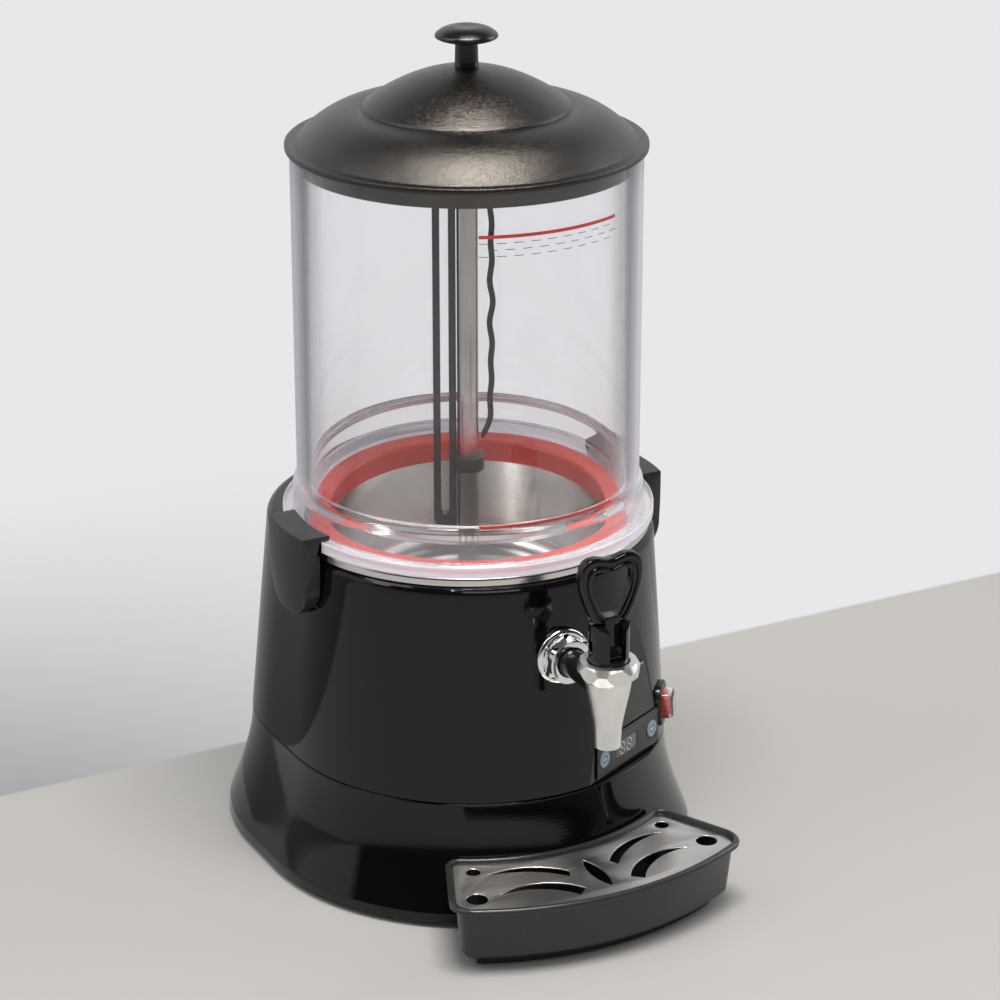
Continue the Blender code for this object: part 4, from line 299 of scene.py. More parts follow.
def turned(profile, middle=MIDDLE, steps=192, direction="Z", height=0):
    """A profile of (distance, level) carried round an axis: upright, or along -Y at a height."""
    profile = np.asarray(profile, float)
    turn = np.linspace(0, 2 * np.pi, steps, endpoint=False)
    out = profile[:, :1]
    level = np.broadcast_to(profile[:, 1:], (len(profile), steps))
    if direction == "Z":
        return np.stack([middle[0] + out * np.cos(turn), middle[1] + out * np.sin(turn), level], axis=-1)
    return np.stack([middle[0] + out * np.cos(turn), middle[1] - level, height + out * np.sin(turn)], axis=-1)


def coat(material, *names):
    """Gives a node of the frame this finish in place of its plain colour."""
    for name in names:
        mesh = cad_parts[name].data
        mesh.materials.clear()
        mesh.materials.append(material)


# Pieces that only touch stand this far apart, and a turned profile ends this near its axis
FIT, AXIS = 0.0003, 0.00001
rubber = moulded("foot_rubber", (0.013, 0.013, 0.013), 0.78, grain=700.0, depth=0.00006, dust=0.35)
foot_skirt, foot_hollow, foot_rounding = 0.0015, 0.006, 0.0006
for foot in ("foot_front_left", "foot_front_right", "foot_rear_left", "foot_rear_right"):
    low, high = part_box(foot)
    foot_radius = (high.x - low.x) / 2
    pad = [(AXIS, low.z + foot_skirt), (foot_hollow, low.z + foot_skirt),
           (foot_hollow + foot_skirt / 2, low.z), (foot_radius - foot_skirt, low.z),
           (foot_radius, low.z + foot_skirt), (foot_radius, high.z), (AXIS, high.z)]
    grid = turned(rounded(pad, foot_rounding, closed=False), ((low + high) / 2).xy, 64)
    fitted(skin(foot + "_pad", grid, rubber, capped=True), "root", "rubber", foot)

zinc = marked_metal("zinc_sheet", (0.56, 0.57, 0.58), (0.40, 0.41, 0.42), 0.42, spread=0.25,
                    marks=(70, 70, 70))
coat(zinc, "base_plate")

# Drive and heating inside the casing
# A gearmotor hangs under a folded bridge and turns the shaft up the tube. A pan round the tank holds the
# bath water over a ring heater. They are bought-in parts: cast and painted, pressed, or moulded.

motor_paint = moulded("motor_paint", (0.20, 0.21, 0.22), 0.44, grain=1100.0, depth=0.00004, dust=0.3,
                      metallic=0.5)
heater_cast = marked_metal("heater_casting", (0.50, 0.50, 0.50), (0.30, 0.30, 0.31), 0.55, spread=0.3,
                           depth=0.00008, marks=(500, 500, 500))
bath_steel = marked_metal("bath_steel", (0.60, 0.60, 0.59), (0.44, 0.44, 0.43), 0.34, spread=0.2,
                          marks=(3, 3, 1500), spun=True)
shaft_steel = marked_metal("shaft_steel", (0.66, 0.66, 0.66), (0.50, 0.50, 0.50), 0.22, marks=(4, 4, 2200),
                           spun=True)
coupling_plastic = moulded("coupling_plastic", (0.03, 0.03, 0.035), 0.4, dust=0.2)
coat(motor_paint, "gearmotor")
coat(zinc, "motor_bracket")
coat(heater_cast, "heater", "temperature_probe")
coat(bath_steel, "water_bath")
coat(shaft_steel, "drive_shaft", "lid_screw")
coat(coupling_plastic, "shaft_coupling")

# Base shell
# A flared skirt of glossy black ABS with a straight lip at its foot and a ledge that the upper casing
# stands on. It is injection moulded, and its seam and foot have small polished roundings.

gloss_black = moulded("gloss_black", (0.0026, 0.0026, 0.0030), 0.06, patches=0.025, grain=160.0,
                      depth=0.00001, dust=0.03, shift=0.2, ior=1.45)
shell_low, shell_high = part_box("base_shell")
rim_half = (shell_high.x - shell_low.x) / 2
plan_front = shell_low.y + rim_half
plan_rear = shell_high.y - rim_half
lip_height, shell_wall, ledge_width, flare_width, shell_rounding = 0.006, 0.003, 0.016, 0.018, 0.0009
seam_half = rim_half - flare_width
shell_height = shell_high.z - shell_low.z


def casing_plan(half, rear, height, facet=None, front_steps=96):
    """Stacked plans of the casing, one row each: a half circle in front, a side, another half circle, a side.

    With a facet, given as its direction and its distance from the front circle's middle, the part of the
    front circle beyond that distance is drawn in to a straight chord.
    """
    half, rear, height = (np.broadcast_to(np.asarray(value, float), np.shape(height))[:, None]
                          for value in (half, rear, height))
    if facet is None:
        turn = np.linspace(-np.pi / 2, np.pi / 2, front_steps)[None, :]
        front_x, front_y = half * np.sin(turn), plan_front - half * np.cos(turn)
    else:
        direction, distance = facet
        distance = np.broadcast_to(np.asarray(distance, float), np.shape(half[:, 0]))[:, None]
        reach = np.arccos(np.minimum(distance / half, np.cos(0.004)))
        share = np.linspace(0, 1, front_steps // 2)[None, :]
        left = -np.pi / 2 + (direction - reach + np.pi / 2) * share
        right = direction + reach + (np.pi / 2 - direction - reach) * share
        across = half * np.sin(reach) * np.linspace(-1, 1, front_steps // 4)[None, :]
        out = half * np.cos(reach) + 0 * across
        chord_x = across * np.cos(direction) + out * np.sin(direction)
        chord_y = plan_front + across * np.sin(direction) - out * np.cos(direction)
        front_x = np.concatenate([half * np.sin(left), chord_x[:, 1:-1], half * np.sin(right)], axis=1)
        front_y = np.concatenate([plan_front - half * np.cos(left), chord_y[:, 1:-1],
                                  plan_front - half * np.cos(right)], axis=1)
    back = np.linspace(np.pi / 2, 3 * np.pi / 2, front_steps)[None, :]
    run = np.linspace(0, 1, 10)[None, 1:-1]
    side_y = plan_front + (rear - plan_front) * run
    x = np.concatenate([front_x, half + 0 * run, half * np.sin(back), -half + 0 * run], axis=1)
    y = np.concatenate([front_y, side_y, rear - half * np.cos(back), side_y[:, ::-1]], axis=1)
    return np.stack([x, y, np.broadcast_to(height, x.shape)], axis=-1)


def flare(height):
    """The skirt's half width falls from the lip to the seam as a quarter of a sine wave."""
    share = np.clip(height - lip_height, 0, None) / (shell_height - lip_height)
    return rim_half - flare_width * np.sin(share * np.pi / 2)


rise = np.concatenate([[0, lip_height], np.linspace(lip_height, shell_height, 28)[1:]])
outer = np.stack([flare(rise), shell_low.z + rise], axis=-1)
inner_rise = np.linspace(shell_height - shell_wall, 0, 20)
inner = np.stack([flare(inner_rise) - shell_wall, shell_low.z + inner_rise], axis=-1)
ledge = [(seam_half - ledge_width, shell_high.z), (seam_half - ledge_width, shell_high.z - shell_wall)]
section = rounded(np.concatenate([outer, ledge, inner]), shell_rounding, steps=4)
skirt = casing_plan(section[:, 0], plan_rear, section[:, 1])
fitted(skin("base_skirt", skirt, gloss_black, joined=True, crease=40), "root", "black_gloss", "base_shell")

# Upper casing
# One glossy black moulding that narrows upwards, with a flat facet at the front right for the controls and
# a deck that the tank hangs in. It drops onto the base's ledge and leaves a fine bright seam.

upper_low, upper_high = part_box("upper_housing")
deck_half, facet_turn, facet_out, casing_wall, deck_rounding = 0.123, radians(27), 0.1295, 0.003, 0.005
tank_hole, rear_taper, seam_inset, seam_bevel = 0.0990, 0.010, 0.0005, 0.0008
casing_top = upper_high.z


def casing_half(level):
    """The casing's half width falls in a straight line from the seam to the deck."""
    return np.interp(level, [shell_high.z, casing_top], [seam_half, deck_half])


def casing_rear(level):
    return np.interp(level, [shell_high.z, casing_top], [plan_rear, plan_rear - rear_taper])


facet_middle = facet_out + (plan_front - MIDDLE.y) * np.cos(facet_turn)
wall_levels = np.linspace(upper_low.z + seam_bevel, casing_top - deck_rounding, 40)
turns = np.linspace(0, np.pi / 2, 8)[1:]
levels = np.concatenate([[upper_low.z], wall_levels, casing_top - deck_rounding * (1 - np.sin(turns))])
insets = np.concatenate([[seam_inset], 0 * wall_levels, deck_rounding * (1 - np.cos(turns))])
outside = casing_plan(casing_half(levels) - insets, casing_rear(levels), levels,
                      (facet_turn, facet_middle - insets))
spread = outside[-1, :, :2] - np.array(MIDDLE)
hole = np.array(MIDDLE) + spread / np.linalg.norm(spread, axis=1, keepdims=True) * tank_hole
deck_in = np.concatenate([hole, np.full((len(hole), 1), casing_top)], axis=1)[None]
deck_under = deck_in - [0, 0, casing_wall]
levels = levels[::-1][len(turns):]
levels = levels - casing_wall * (levels > casing_top - 2 * deck_rounding)
inside = casing_plan(casing_half(levels) - casing_wall, casing_rear(levels), levels,
                     (facet_turn, facet_middle - casing_wall))
shell = skin("upper_casing", np.concatenate([outside, deck_in, deck_under, inside]), gloss_black, joined=True,
             crease=9)
fitted(shell, "root", "black_gloss", "upper_housing")

# Electrics
# A green circuit board stands behind the facet on two posts, a terminal block sits on the base plate, and
# the mains cord's gland is screwed into the back of the casing. The gland is black moulded nylon.

board = moulded("circuit_board", (0.015, 0.13, 0.055), 0.45, grain=300.0, depth=0.00005, dust=0.2, shift=0.5)
nylon = moulded("black_nylon", (0.018, 0.018, 0.019), 0.42, grain=1200.0, depth=0.00003, dust=0.25)
coat(board, "control_board")
coat(nylon, "terminal_block")
gland_low, gland_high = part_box("cord_gland")
gland_middle = (gland_low + gland_high) / 2
gland_sunk, gland_bore, thread_radius, gland_across, gland_corner = 0.0015, 0.0038, 0.0076, 0.0165, 0.0093
nut_edge, nut_end, dome_start, dome_end, dome_radius, dome_top = 0.0006, 0.0066, 0.0074, 0.003, 0.0082, 0.0080
nose_radius, mouth_radius, thread_length = 0.0066, 0.0055, 0.004
gland_face, gland_reach = plan_rear + casing_half(gland_middle.z) - gland_sunk, gland_high.y


def hexagon(turn, half_across):
    """How far a hexagon's outline lies from its middle in each direction, with a corner at zero."""
    return half_across / np.cos(turn % (np.pi / 3) - np.pi / 6)


def level_rings(stations, turn, x, z):
    """Rings about an axis that runs level from front to back: each one's distance from it and its place."""
    return np.array([np.stack([x + out * np.cos(turn), 0 * turn + level, z + out * np.sin(turn)], axis=-1)
                     for out, level in stations])


turn = np.linspace(0, 2 * np.pi, 144, endpoint=False)
nut_line = np.minimum(hexagon(turn + np.pi / 6, gland_across / 2), gland_corner)
stations = [(thread_radius, gland_face - thread_length), (thread_radius, gland_face), (nut_line, gland_face),
            (nut_line, gland_face + nut_edge), (nut_line, gland_face + nut_end),
            (dome_radius, gland_face + dome_start), (dome_top, gland_reach - dome_end),
            (nose_radius, gland_reach - nut_edge), (mouth_radius, gland_reach), (gland_bore, gland_reach),
            (gland_bore, gland_face - thread_length)]
rings = level_rings(stations, turn, gland_middle.x, gland_middle.z)
gland = skin("cord_gland_nut", rings, nylon, joined=True, crease=25)
fitted(gland, "root", "black_satin", "cord_gland")

# Tank
# A deep-drawn stainless dish with a wide rolled rim, spun smooth so that fine marks run round it. It hangs
# in the deck by its rim, and the tap draws from a hole in its front wall.

tank_steel = marked_metal("tank_steel", (0.80, 0.78, 0.76), (0.62, 0.60, 0.58), 0.17, spread=0.08,
                          depth=0.000002, marks=(2.5, 2.5, 2600), spun=True, anisotropic=0.6)
tank_low, tank_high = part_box("tank")
rim_radius = (tank_high.x - tank_low.x) / 2
tank_radius, tank_sheet, tank_corner, rim_roll, rim_hem = 0.0975, 0.0012, 0.014, 0.0022, 0.0004
tube_radius = (axis_high.x - axis_low.x) / 2
floor_z, rim_under = tank_low.z + tank_sheet, tank_high.z - tank_sheet
dish = [(tube_radius + FIT, floor_z), (tank_radius, floor_z), (tank_radius, tank_high.z),
        (rim_radius, tank_high.z), (rim_radius, casing_top + FIT),
        (rim_radius - tank_sheet, casing_top + FIT),
        (rim_radius - tank_sheet, rim_under), (tank_radius + tank_sheet, rim_under),
        (tank_radius + tank_sheet, tank_low.z), (tube_radius + FIT, tank_low.z)]
reach = [FIT, tank_corner, rim_roll, rim_roll, rim_hem, rim_hem, tank_sheet, tank_sheet, tank_corner, FIT]
tank = skin("tank_dish", turned(rounded(dish, reach, steps=10), steps=256), tank_steel, joined=True)
fitted(tank, "root", "steel", "tank")

# Centre tube
# A polished stainless tube welded into the tank's floor keeps the drink away from the shaft inside it.

tube_steel = marked_metal("tube_steel", (0.62, 0.59, 0.56), (0.44, 0.42, 0.40), 0.20, spread=0.14,
                          depth=0.000005, marks=(1400, 1400, 22))
tube_wall, tube_rounding = 0.001, 0.0004
pipe = [(tube_radius, axis_low.z), (tube_radius, axis_high.z), (tube_radius - tube_wall, axis_high.z),
        (tube_radius - tube_wall, axis_low.z)]
tube = skin("steel_tube", turned(rounded(pipe, tube_rounding), steps=96), tube_steel, joined=True)
fitted(tube, "root", "steel", "centre_tube")

# Gasket
# A soft ring of red silicone lies on the tank's rim in the bowl's foot. Its deep lip hangs inside the tank.

silicone = moulded("red_silicone", (0.80, 0.046, 0.026), 0.34, patches=0.06, grain=500.0, depth=0.00003,
                   dust=0.04, shift=0.30, dust_tone=(0.75, 0.45, 0.40))
seal_low, seal_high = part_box("gasket")
seal_radius = (seal_high.x - seal_low.x) / 2
seal_inner, seal_outer, seal_sheet, seal_bevel = 0.0948, 0.0972, 0.0024, 0.0012
seal_drop, seal_foot, seal_rounding = 0.0016, 0.0008, 0.0007
seal = [(seal_outer, seal_low.z), (seal_outer, seal_high.z - seal_sheet),
        (seal_radius, seal_high.z - seal_sheet), (seal_radius, seal_high.z),
        (seal_inner + seal_bevel, seal_high.z), (seal_inner, seal_high.z - seal_drop),
        (seal_inner, seal_low.z + seal_bevel), (seal_inner + seal_foot, seal_low.z)]
gasket = skin("silicone_ring", turned(rounded(seal, seal_rounding), steps=256), silicone, joined=True)
fitted(gasket, "root", "red_silicone", "gasket")

# Bowl
# A tube of clear polycarbonate cemented into a machined socket ring with a flange. Light runs in its edges
# and gives them a faint violet grey. The clips press its flange onto the gasket.


def clear(name, tone, roughness=0.015, ripple=0.00002, ior=1.5, haze=0.0, edge_glow=0.0):
    """A clear plastic that bends light and casts a light shadow. A pale diffuse layer is mixed in, at the
    haze share where it is seen head-on and rising to a painted edge light where it is seen edge-on.
    """
    made = moulded(name, tone, roughness, patches=0.01, grain=22.0, depth=ripple, dust=0.0, shift=0.03)
    tree = made.node_tree
    shader = tree.nodes["Principled BSDF"]
    shader.inputs["Transmission Weight"].default_value = 1
    shader.inputs["IOR"].default_value = ior
    path = node(tree, "ShaderNodeLightPath").outputs
    passing = node(tree, "ShaderNodeBsdfTransparent", {"Color": (0.93, 0.93, 0.94, 1)}).outputs[0]
    dark = sum_of(tree, path["Is Shadow Ray"], "MAXIMUM", path["Is Diffuse Ray"])
    # A pale violet diffuse layer, strongest where the plastic is seen edge-on, is painted edge light
    painted_edge_light = node(tree, "ShaderNodeBsdfDiffuse", {"Color": (0.89, 0.88, 0.96, 1)}).outputs[0]
    slant = node(tree, "ShaderNodeLayerWeight", {"Blend": 0.5}).outputs["Facing"]
    edge = between(tree, slant, 0.50, 0.80, haze, edge_glow)
    body = node(tree, "ShaderNodeMixShader", {0: edge, 1: shader.outputs[0], 2: painted_edge_light}).outputs[0]
    shown = node(tree, "ShaderNodeMixShader", {0: dark, 1: body, 2: passing}).outputs[0]
    tree.links.new(shown, tree.nodes["Material Output"].inputs["Surface"])
    return made


polycarbonate = clear("polycarbonate", (0.985, 0.983, 0.995), edge_glow=0.72)
machined_edge = clear("machined_edge", (0.985, 0.980, 0.990), roughness=0.20, ripple=0.0001, haze=0.74,
                      edge_glow=0.82)
turned_face = clear("turned_face", (0.985, 0.980, 0.990), roughness=0.05, ripple=0.0001, haze=0.16,
                    edge_glow=0.42)
bowl_low, bowl_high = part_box("bowl")
flange_radius = (bowl_high.x - bowl_low.x) / 2
bowl_radius, bowl_wall, socket_radius, socket_bore, recess = 0.115, 0.004, 0.118, 0.1085, 0.1106
flange_height, socket_height, bore_height, recess_height, socket_bevel, bore_step = (
    0.008, 0.0225, 0.030, 0.003, 0.005, 0.0012)
inner_radius = bowl_radius - bowl_wall
flange_top, socket_top = bowl_low.z + flange_height, bowl_low.z + socket_height
socket_floor, recess_top = bowl_low.z + bore_height, bowl_low.z + recess_height
glass = [(inner_radius, bowl_high.z), (bowl_radius, bowl_high.z), (bowl_radius, socket_top + socket_bevel),
         (socket_radius, socket_top), (socket_radius, flange_top), (flange_radius, flange_top),
         (flange_radius, bowl_low.z), (recess, bowl_low.z), (recess, recess_top), (socket_bore, recess_top),
         (socket_bore, socket_floor), (inner_radius, socket_floor + bore_step)]
reach = [0.0008, 0.0008, 0.002, 0.0016, 0.0012, 0.0014, 0.0012, 0.0006, 0.0006, 0.001, 0.0012, 0.0012]
bowl = skin("clear_bowl", turned(rounded(glass, reach, steps=5), steps=256), polycarbonate, joined=True)
# The flange's outer face is machined and its top and the socket ring are turned
bowl.data.materials.append(machined_edge)
bowl.data.materials.append(turned_face)
centres = np.zeros(len(bowl.data.polygons) * 3)
bowl.data.polygons.foreach_get("center", centres)
centres = centres.reshape(-1, 3)
cut_depth = 0.0005
from_axis = np.linalg.norm(centres[:, :2] - np.array(MIDDLE), axis=1)
ring = (from_axis > bowl_radius + 2 * cut_depth) & (centres[:, 2] > flange_top - 4 * cut_depth)
finish = np.where(from_axis > flange_radius - cut_depth, 1, np.where(ring, 2, 0))
bowl.data.polygons.foreach_set("material_index", finish)
fitted(bowl, "root", "clear_plastic", "bowl")

# Level marks
# Two thin red lines on the bowl's front wall show the highest and lowest fill, with rows of short dashes
# under the upper one. They are screen printed.

red_ink = moulded("red_ink", (0.62, 0.06, 0.05), 0.35, grain=700.0, depth=0.000004, dust=0.1)
dark_ink = moulded("dark_ink", (0.06, 0.06, 0.07), 0.4, grain=700.0, depth=0.000004, dust=0.1)
ink, ink_stand = 0.00008, 0.00004


def printed_line(start, end, low, high, columns=40):
    """A thin strip that lies on the bowl from one bearing to another, between two levels."""
    turn = np.linspace(start, end, columns)[:, None]
    out = bowl_radius + np.array([[ink_stand, ink_stand + ink, ink_stand + ink, ink_stand]])
    level = np.broadcast_to(np.array([[low, low, high, high]]), (columns, 4))
    return np.stack([MIDDLE.x + out * np.sin(turn), MIDDLE.y - out * np.cos(turn), level], axis=-1)


mark_start, mark_end, line_height = radians(-24), radians(26.6), 0.0022
upper_mark, lower_mark = 0.4625, 0.2692
red_lines = [printed_line(mark_start, mark_end, level - line_height / 2, level + line_height / 2)
             for level in (upper_mark, lower_mark)]
fitted(skin("level_lines", red_lines, red_ink, capped=True), "root", "red_plastic")
dashes = []
dash_gap, dash_share, dash_height, first_row, row_gap = radians(5.6), 0.55, 0.0004, 0.0045, 0.0042
for row in range(3):
    for dash in range(9):
        begin = mark_start + dash * dash_gap + (row % 2) * dash_gap / 2
        end = min(begin + dash_gap * dash_share, mark_end)
        level = upper_mark - first_row - row * row_gap
        dashes.append(printed_line(begin, end, level, level + dash_height, 8))
fitted(skin("level_dashes", dashes, dark_ink, capped=True), "root", "black_satin")

# Stirrer
# One moulding of smoky plastic turns round the tube: a cap with an arm each way and a slotted blade that
# ends in a low paddle. A collar clips it to the tube, and a slim wavy strip hangs from the other arm.


def stamped(name, outlines, thickness, edge, finish, place, crease=35):
    """A flat piece inside the first closed outline, without the others. Its edges are rounded all along.

    The outlines are drawn in a plane and filled, and place moves the plate there, its thickness about it.
    """
    curve = bpy.data.curves.new(name, "CURVE")
    curve.dimensions = "2D"
    curve.fill_mode = "BOTH"
    curve.extrude = thickness / 2 - edge
    curve.bevel_depth = edge
    curve.offset = -edge
    curve.bevel_resolution = 2
    for outline in outlines:
        line = curve.splines.new("POLY")
        line.points.add(len(outline) - 1)
        ends = np.tile([0.0, 1.0], (len(outline), 1))
        line.points.foreach_set("co", np.concatenate([outline, ends], axis=1).ravel())
        line.use_cyclic_u = True
    drawn = bpy.data.objects.new(name, curve)
    bpy.context.scene.collection.objects.link(drawn)
    bpy.context.view_layer.update()
    mesh = bpy.data.meshes.new_from_object(drawn.evaluated_get(bpy.context.evaluated_depsgraph_get()))
    bpy.data.objects.remove(drawn)
    bpy.data.curves.remove(curve)
    mesh.transform(place)
    mesh.materials.clear()
    return dressed(name, mesh, finish, crease)


def upright(turn, middle):
    """A frame whose first axis runs level in this direction, its second up and its third to the right."""
    along = Vector((np.cos(turn), np.sin(turn), 0))
    up = Vector((0, 0, 1))
    rotation = Matrix((along, up, along.cross(up))).transposed().to_4x4()
    return Matrix.Translation(middle) @ rotation


def swept(path, across, up, section):
    """A closed section of (across, up) offsets carried along a path, one row for each point of it."""
    section = np.asarray(section, float)
    return (path[:, None] + across[:, None] * section[None, :, :1] + up[:, None] * section[None, :, 1:])


def box_outline(width, height, corner, middle=(0, 0), steps=6):
    half = np.array([width, height]) / 2
    corners = np.array([(1, 1), (-1, 1), (-1, -1), (1, -1)]) * half
    return rounded(corners, corner, steps) + np.asarray(middle)


smoke = moulded("smoke_plastic", (0.034, 0.034, 0.038), 0.14, patches=0.04, grain=300.0, depth=0.000003,
                dust=0.04, transmission_weight=0.2)
stirrer_low, stirrer_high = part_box("stirrer_frame")
strip_low, strip_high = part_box("stirrer_strip")
stirrer_turn, blade_reach, bar_width, blade_thickness = radians(-27.5), 0.0236, 0.005, 0.006
strip_sunk, tube_gap, slot_rise, slot_drop = 0.0013, 0.0006, 0.014, 0.005
blade_corner, paddle_corner, slot_corner, slot_top_corner, blade_edge = 0.001, 0.007, 0.0027, 0.0005, 0.0009
slot_foot, foot_stretch = 0.008, 0.6
arm_z, tube_clear = strip_high.z + strip_sunk, tube_radius + tube_gap
slot_low, slot_high = stirrer_low.z + slot_rise, arm_z - slot_drop
slot_left, slot_right = bar_width - blade_reach, -tube_clear - bar_width
blade = rounded([(-tube_clear, stirrer_low.z), (-tube_clear, arm_z), (-blade_reach, arm_z),
                 (-blade_reach, stirrer_low.z)],
                [blade_corner, blade_corner, blade_corner, paddle_corner], steps=10)
slot = rounded([(slot_left, slot_low), (slot_left, slot_high), (slot_right, slot_high),
                (slot_right, slot_low)],
               [slot_corner, slot_top_corner, slot_top_corner, slot_corner], steps=8)
# The slot's lower end is drawn out downwards
slot[:, 1] -= foot_stretch * np.clip(slot_low + slot_foot - slot[:, 1], 0, None)
blade_piece = stamped("stirrer_blade", [blade, slot], blade_thickness, blade_edge, smoke,
                      upright(stirrer_turn, (*MIDDLE, 0)))
fitted(blade_piece, "stirrer", "smoke_plastic", "stirrer_frame")

hub_radius, hub_height, hub_bevel, crown_radius, cap_wall = 0.0125, 0.018, 0.003, 0.0095, 0.004
hub_rounding, hub_hold_share = 0.0008, 0.9
arm_end, arm_width, arm_height, arm_corner = 0.0179, 0.006, 0.010, 0.0009
hub_high, hub_low = stirrer_high.z, stirrer_high.z - hub_height
cap = rounded([(tube_clear, hub_low), (hub_radius, hub_low), (hub_radius, hub_high - hub_bevel),
               (crown_radius, hub_high), (AXIS, hub_high), (AXIS, hub_high - cap_wall),
               (tube_clear, hub_high - cap_wall)], hub_rounding)
run = Vector((np.cos(stirrer_turn), np.sin(stirrer_turn)))
arm_side = np.array([-run.y, run.x, 0])
hub_hold = hub_radius * hub_hold_share
arm_ends = []
for start, end in ((-blade_reach, -hub_hold), (hub_hold, arm_end)):
    reach = np.linspace(start, end, 6)
    path = np.stack([MIDDLE.x + reach * run.x, MIDDLE.y + reach * run.y, np.full(6, arm_z)], axis=-1)
    arm_ends.append(swept(path, np.tile(arm_side, (6, 1)), np.tile([0, 0, 1.0], (6, 1)),
                          box_outline(arm_width, arm_height, arm_corner)))
dark_smoke = moulded("dark_smoke_plastic", (0.018, 0.018, 0.021), 0.26, patches=0.05, grain=500.0, dust=0.06,
                     transmission_weight=0.1)
fitted(skin("stirrer_cap", turned(cap, steps=96), dark_smoke, joined=True), "stirrer", "smoke_plastic")
fitted(skin("stirrer_arms", arm_ends, dark_smoke, capped=True), "stirrer", "smoke_plastic")

collar_low, collar_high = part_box("stirrer_collar")
collar_wall, collar_rounding, mouth = 0.0032, 0.0008, radians(26)
turn = stirrer_turn + np.linspace(-np.pi + mouth, np.pi - mouth, 90)
out_way = np.stack([np.cos(turn), np.sin(turn), 0 * turn], axis=-1)
half, middle = (collar_high.z - collar_low.z) / 2, (collar_low.z + collar_high.z) / 2
rest = np.tile([MIDDLE.x, MIDDLE.y, middle], (len(turn), 1))
ring = rounded([(tube_clear, -half), (tube_clear + collar_wall, -half), (tube_clear + collar_wall, half),
                (tube_clear, half)], collar_rounding)
collar = skin("tube_collar", swept(rest, out_way, np.tile([0, 0, 1.0], (len(turn), 1)), ring), dark_smoke,
              capped=True)
fitted(collar, "stirrer", "smoke_plastic", "stirrer_collar")

strip_place, strip_width, strip_corner, tip_share, tip_length = 0.0159, 0.0040, 0.0012, 0.45, 0.006
wave, wave_length, second_share, second_turns = 0.0007, 0.027, 0.6, 4.4
hook_height, hook_reach = 0.036, 0.0048
z = np.linspace(strip_low.z, strip_high.z, 260)
rise, drop = z - strip_low.z, (strip_high.z - z) / wave_length
taper = np.minimum(1, tip_share + rise / tip_length)
# Two waves of different length make the bends uneven, and the foot curves in towards the tube
bends = np.sin(2 * np.pi * drop) + second_share * np.sin(second_turns * drop)
hooked = np.clip(1 - rise / hook_height, 0, 1) ** 2 * hook_reach
x = strip_place + np.minimum(1, drop) * wave * bends - hooked
path = np.stack([MIDDLE.x + x * run.x, MIDDLE.y + x * run.y, z], axis=-1)
strip_grid = swept(path, np.array([run.x, run.y, 0]) * taper[:, None], arm_side * taper[:, None],
                   box_outline(strip_width, strip_width, strip_corner))
fitted(skin("wavy_strip", strip_grid, dark_smoke, capped=True), "stirrer", "smoke_plastic", "stirrer_strip")

# Lid
# One pressed lid of dark bronze grey plastic: a flat rim, a domed shoulder, a second dome on it, and a skirt
# that goes down inside the bowl. Its fine spark-eroded grain glitters in the light.

lid_skin = moulded("lid_grain", (0.0045, 0.0041, 0.0036), 0.20, patches=0.03, grain=1100.0, depth=0.00038,
                   dust=0.04, shift=0.25, dust_tone=(0.42, 0.38, 0.32), ior=1.72,
                   specular_tint=(1.0, 0.93, 0.86, 1))
lid_low, lid_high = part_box("lid")
lid_radius = (lid_high.x - lid_low.x) / 2
rim_width, rim_edge, lid_wall, lid_step, dome_radius, dome_rise = 0.006, 0.004, 0.0025, 0.0012, 0.068, 0.025
skirt_gap, screw_hole, lid_rounding, shoulder_power, step_share = 0.0006, 0.0023, 0.0011, 2.15, 0.4
skirt_radius = inner_radius - skirt_gap
rim_z = bowl_high.z + FIT
rim_top, shoulder = rim_z + rim_edge, lid_high.z - dome_rise
share = np.linspace(1, 0, 44)
low_dome = np.stack([dome_radius + (lid_radius - rim_width - dome_radius) * share,
                     rim_top + (shoulder - lid_step - rim_top) * (1 - share**shoulder_power)], axis=-1)
share = np.linspace(0.985, 0.045, 44)
high_dome = np.stack([dome_radius * share, lid_high.z - dome_rise * share**2], axis=-1)
outside = np.concatenate([[(lid_radius, rim_z), (lid_radius, rim_top)], low_dome,
                          [(dome_radius, shoulder - lid_step * step_share)], high_dome,
                          [(screw_hole, lid_high.z)]])
inside = np.concatenate([[(screw_hole, lid_high.z - lid_wall)], high_dome[::-1] - [lid_wall / 2, lid_wall],
                         low_dome[::-1][6:-3] - [lid_wall, lid_wall],
                         [(skirt_radius - lid_wall, rim_z), (skirt_radius - lid_wall, lid_low.z),
                          (skirt_radius, lid_low.z), (skirt_radius, rim_z)]])
inside[1:45, 0] = np.maximum(inside[1:45, 0], screw_hole)
profile = rounded(np.concatenate([outside, inside]), lid_rounding, steps=3)
fitted(skin("domed_lid", turned(profile, steps=256), lid_skin, joined=True, crease=40), "lid", "lid_black",
       "lid")

# Lid knob
# A mushroom knob of the same grained plastic, held by a screw from inside the lid.

knob_low, knob_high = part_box("lid_knob")
knob_radius, stem_radius, stem_height, stem_flare, flare_height = (
    (knob_high.x - knob_low.x) / 2, 0.0076, 0.0145, 0.0006, 0.003)
crown_drop, crown_dip, neck_rise, crown_share, dip_share = 0.0016, 0.0005, 0.0020, 0.50, 0.2
disc, knob_crown = knob_low.z + stem_height, knob_high.z - crown_drop
